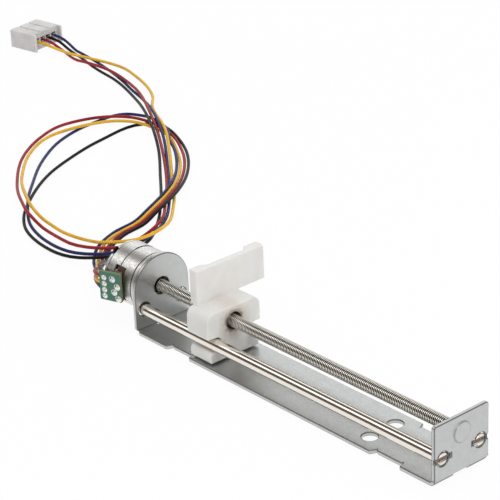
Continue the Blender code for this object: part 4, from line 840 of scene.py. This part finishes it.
def add_motor_details():
    """Resin and wire ends in the terminal window, painted shade in the openings of the can's seams,
    and rings of painted shade in the motor's gaps.
    """
    dark = painted_gap_shade()
    for name, finish, ends, radii, angles, width in SECTORS:
        add_sector(name, bpy.data.materials[finish], ends, radii, angles, width)
    for number, (x_from, x_to, radius) in enumerate(GAP_SHADE_RINGS, 1):
        work = bmesh.new()
        for end in (x_from, x_to):
            ring = bmesh.ops.create_circle(work, segments=GAP_RING_SIDES, radius=radius)
            bmesh.ops.transform(work, matrix=along_axis(end), verts=ring["verts"])
        bmesh.ops.bridge_loops(work, edges=work.edges[:])
        bmesh.ops.recalc_face_normals(work, faces=work.faces)
        bmesh.ops.solidify(work, geom=work.faces[:], thickness=GAP_RING_WALL)
        bmesh.ops.recalc_face_normals(work, faces=work.faces)
        add_piece("gap_shade_ring_%d" % number, work, dark, "frame", EDGE_ANGLE)
    copper = metal_finish("copper_tail_finish")
    for number, (x, height, lean) in enumerate(WIRE_TAILS, 1):
        curve = round_wire("winding_tail_%d" % number, TAIL_RADIUS, 2, copper)
        spline = curve.splines.new("BEZIER")
        spline.bezier_points.add(len(TAIL_SHAPE) - 1)
        for point, (share, y, rise) in zip(spline.bezier_points, TAIL_SHAPE):
            point.co = (x + share * lean, y, height + rise)
            point.handle_left_type = point.handle_right_type = "AUTO"
        tail = new_object("winding_tail_%d" % number, curve)
        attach(tail, "frame")


def add_camera():
    """The photograph's viewpoint."""
    look = Vector(CAMERA_LOOK).normalized()
    up = Vector(CAMERA_UP).normalized()
    camera = bpy.data.cameras.new("camera")
    camera.lens = CAMERA_LENS
    camera.sensor_width = SENSOR_WIDTH
    camera.sensor_fit = "HORIZONTAL"
    camera.clip_start = 0.01
    camera.clip_end = 10.0
    holder = new_object("camera", camera)
    turn = Matrix((look.cross(up), up, -look)).transposed().to_4x4()
    holder.matrix_world = Matrix.Translation(CAMERA_PLACE) @ turn
    bpy.context.scene.camera = holder


def studio_place(place):
    """Where a lamp or a card stands: facing the object, its long side along the rods."""
    away = (Vector(place) - Vector(LAMP_AIM)).normalized()
    across = away.cross(Vector((1.0, 0.0, 0.0))).normalized()
    turn = Matrix((across.cross(away), across, away)).transposed().to_4x4()
    return Matrix.Translation(place) @ turn


def matt_finish(name, colour):
    """One dull colour, for the studio's own things."""
    finish, tree, shader = start_finish(name)
    shader.inputs["Base Color"].default_value = colour
    shader.inputs["Roughness"].default_value = 0.9
    return finish, tree, shader


def add_floor():
    """A plain floor, white where the camera or a reflection sees it, that keeps the shadow."""
    finish, tree, shader = matt_finish("floor_finish", FLOOR_COLOUR)
    glow = tree.nodes.new("ShaderNodeEmission")
    glow.inputs["Strength"].default_value = 1.0
    mix = tree.nodes.new("ShaderNodeMixShader")
    rays = tree.nodes.new("ShaderNodeLightPath")
    seen = maths(tree, "ADD", rays.outputs["Is Camera Ray"], rays.outputs["Is Glossy Ray"], True)
    seen = maths(tree, "ADD", seen, rays.outputs["Is Transmission Ray"], True)
    tree.links.new(maths(tree, "MULTIPLY", seen, FLOOR_GLOW), mix.inputs["Fac"])
    tree.links.new(shader.outputs[0], mix.inputs[1])
    tree.links.new(glow.outputs[0], mix.inputs[2])
    tree.links.new(mix.outputs[0], tree.nodes["Material Output"].inputs["Surface"])
    work = bmesh.new()
    bmesh.ops.create_grid(work, x_segments=1, y_segments=1, size=FLOOR_SIZE)
    bmesh.ops.translate(work, vec=(0, 0, -FLOOR_DROP), verts=work.verts)
    new_object("floor", finished_mesh("floor", work, finish))


def add_surround():
    """An even white surround, dimmer as light than as the backdrop."""
    world = bpy.data.worlds.new("surround")
    bpy.context.scene.world = world
    world.use_nodes = True
    tree = world.node_tree
    sky = tree.nodes["Background"]
    sky.inputs["Color"].default_value = (1.0, 1.0, 1.0, 1.0)
    rays = tree.nodes.new("ShaderNodeLightPath")
    tree.links.new(spread(tree, rays.outputs["Is Camera Ray"], 0.0, 1.0, SURROUND_LIGHT, 1.0),
                   sky.inputs["Strength"])


def add_lamps():
    """Soft lamps, and dark cards that only reflections see, to shade the polished metal."""
    for name, place, size, power in LAMPS:
        lamp = bpy.data.lights.new(name, "AREA")
        lamp.shape = "RECTANGLE"
        lamp.size, lamp.size_y = size
        lamp.energy = power
        new_object(name, lamp).matrix_world = studio_place(place)
    finish = matt_finish("card_finish", CARD_COLOUR)[0]
    for name, place, (length, width) in DARK_CARDS:
        work = bmesh.new()
        bmesh.ops.create_grid(work, x_segments=1, y_segments=1, size=0.5)
        bmesh.ops.scale(work, vec=(length, width, 1.0), verts=work.verts)
        bmesh.ops.transform(work, matrix=studio_place(place), verts=work.verts)
        card = new_object(name, finished_mesh(name, work, finish))
        card.visible_camera = False
        card.visible_diffuse = False
        card.visible_shadow = False


bpy.context.scene.view_settings.view_transform = "Standard"

add_camera()
add_wires()
dress_solids()
add_threaded_screw()
add_soft_edges()
add_solder()
add_motor_details()
declare_wires()
add_floor()
add_surround()
add_lamps()

bpy.context.view_layer.update()
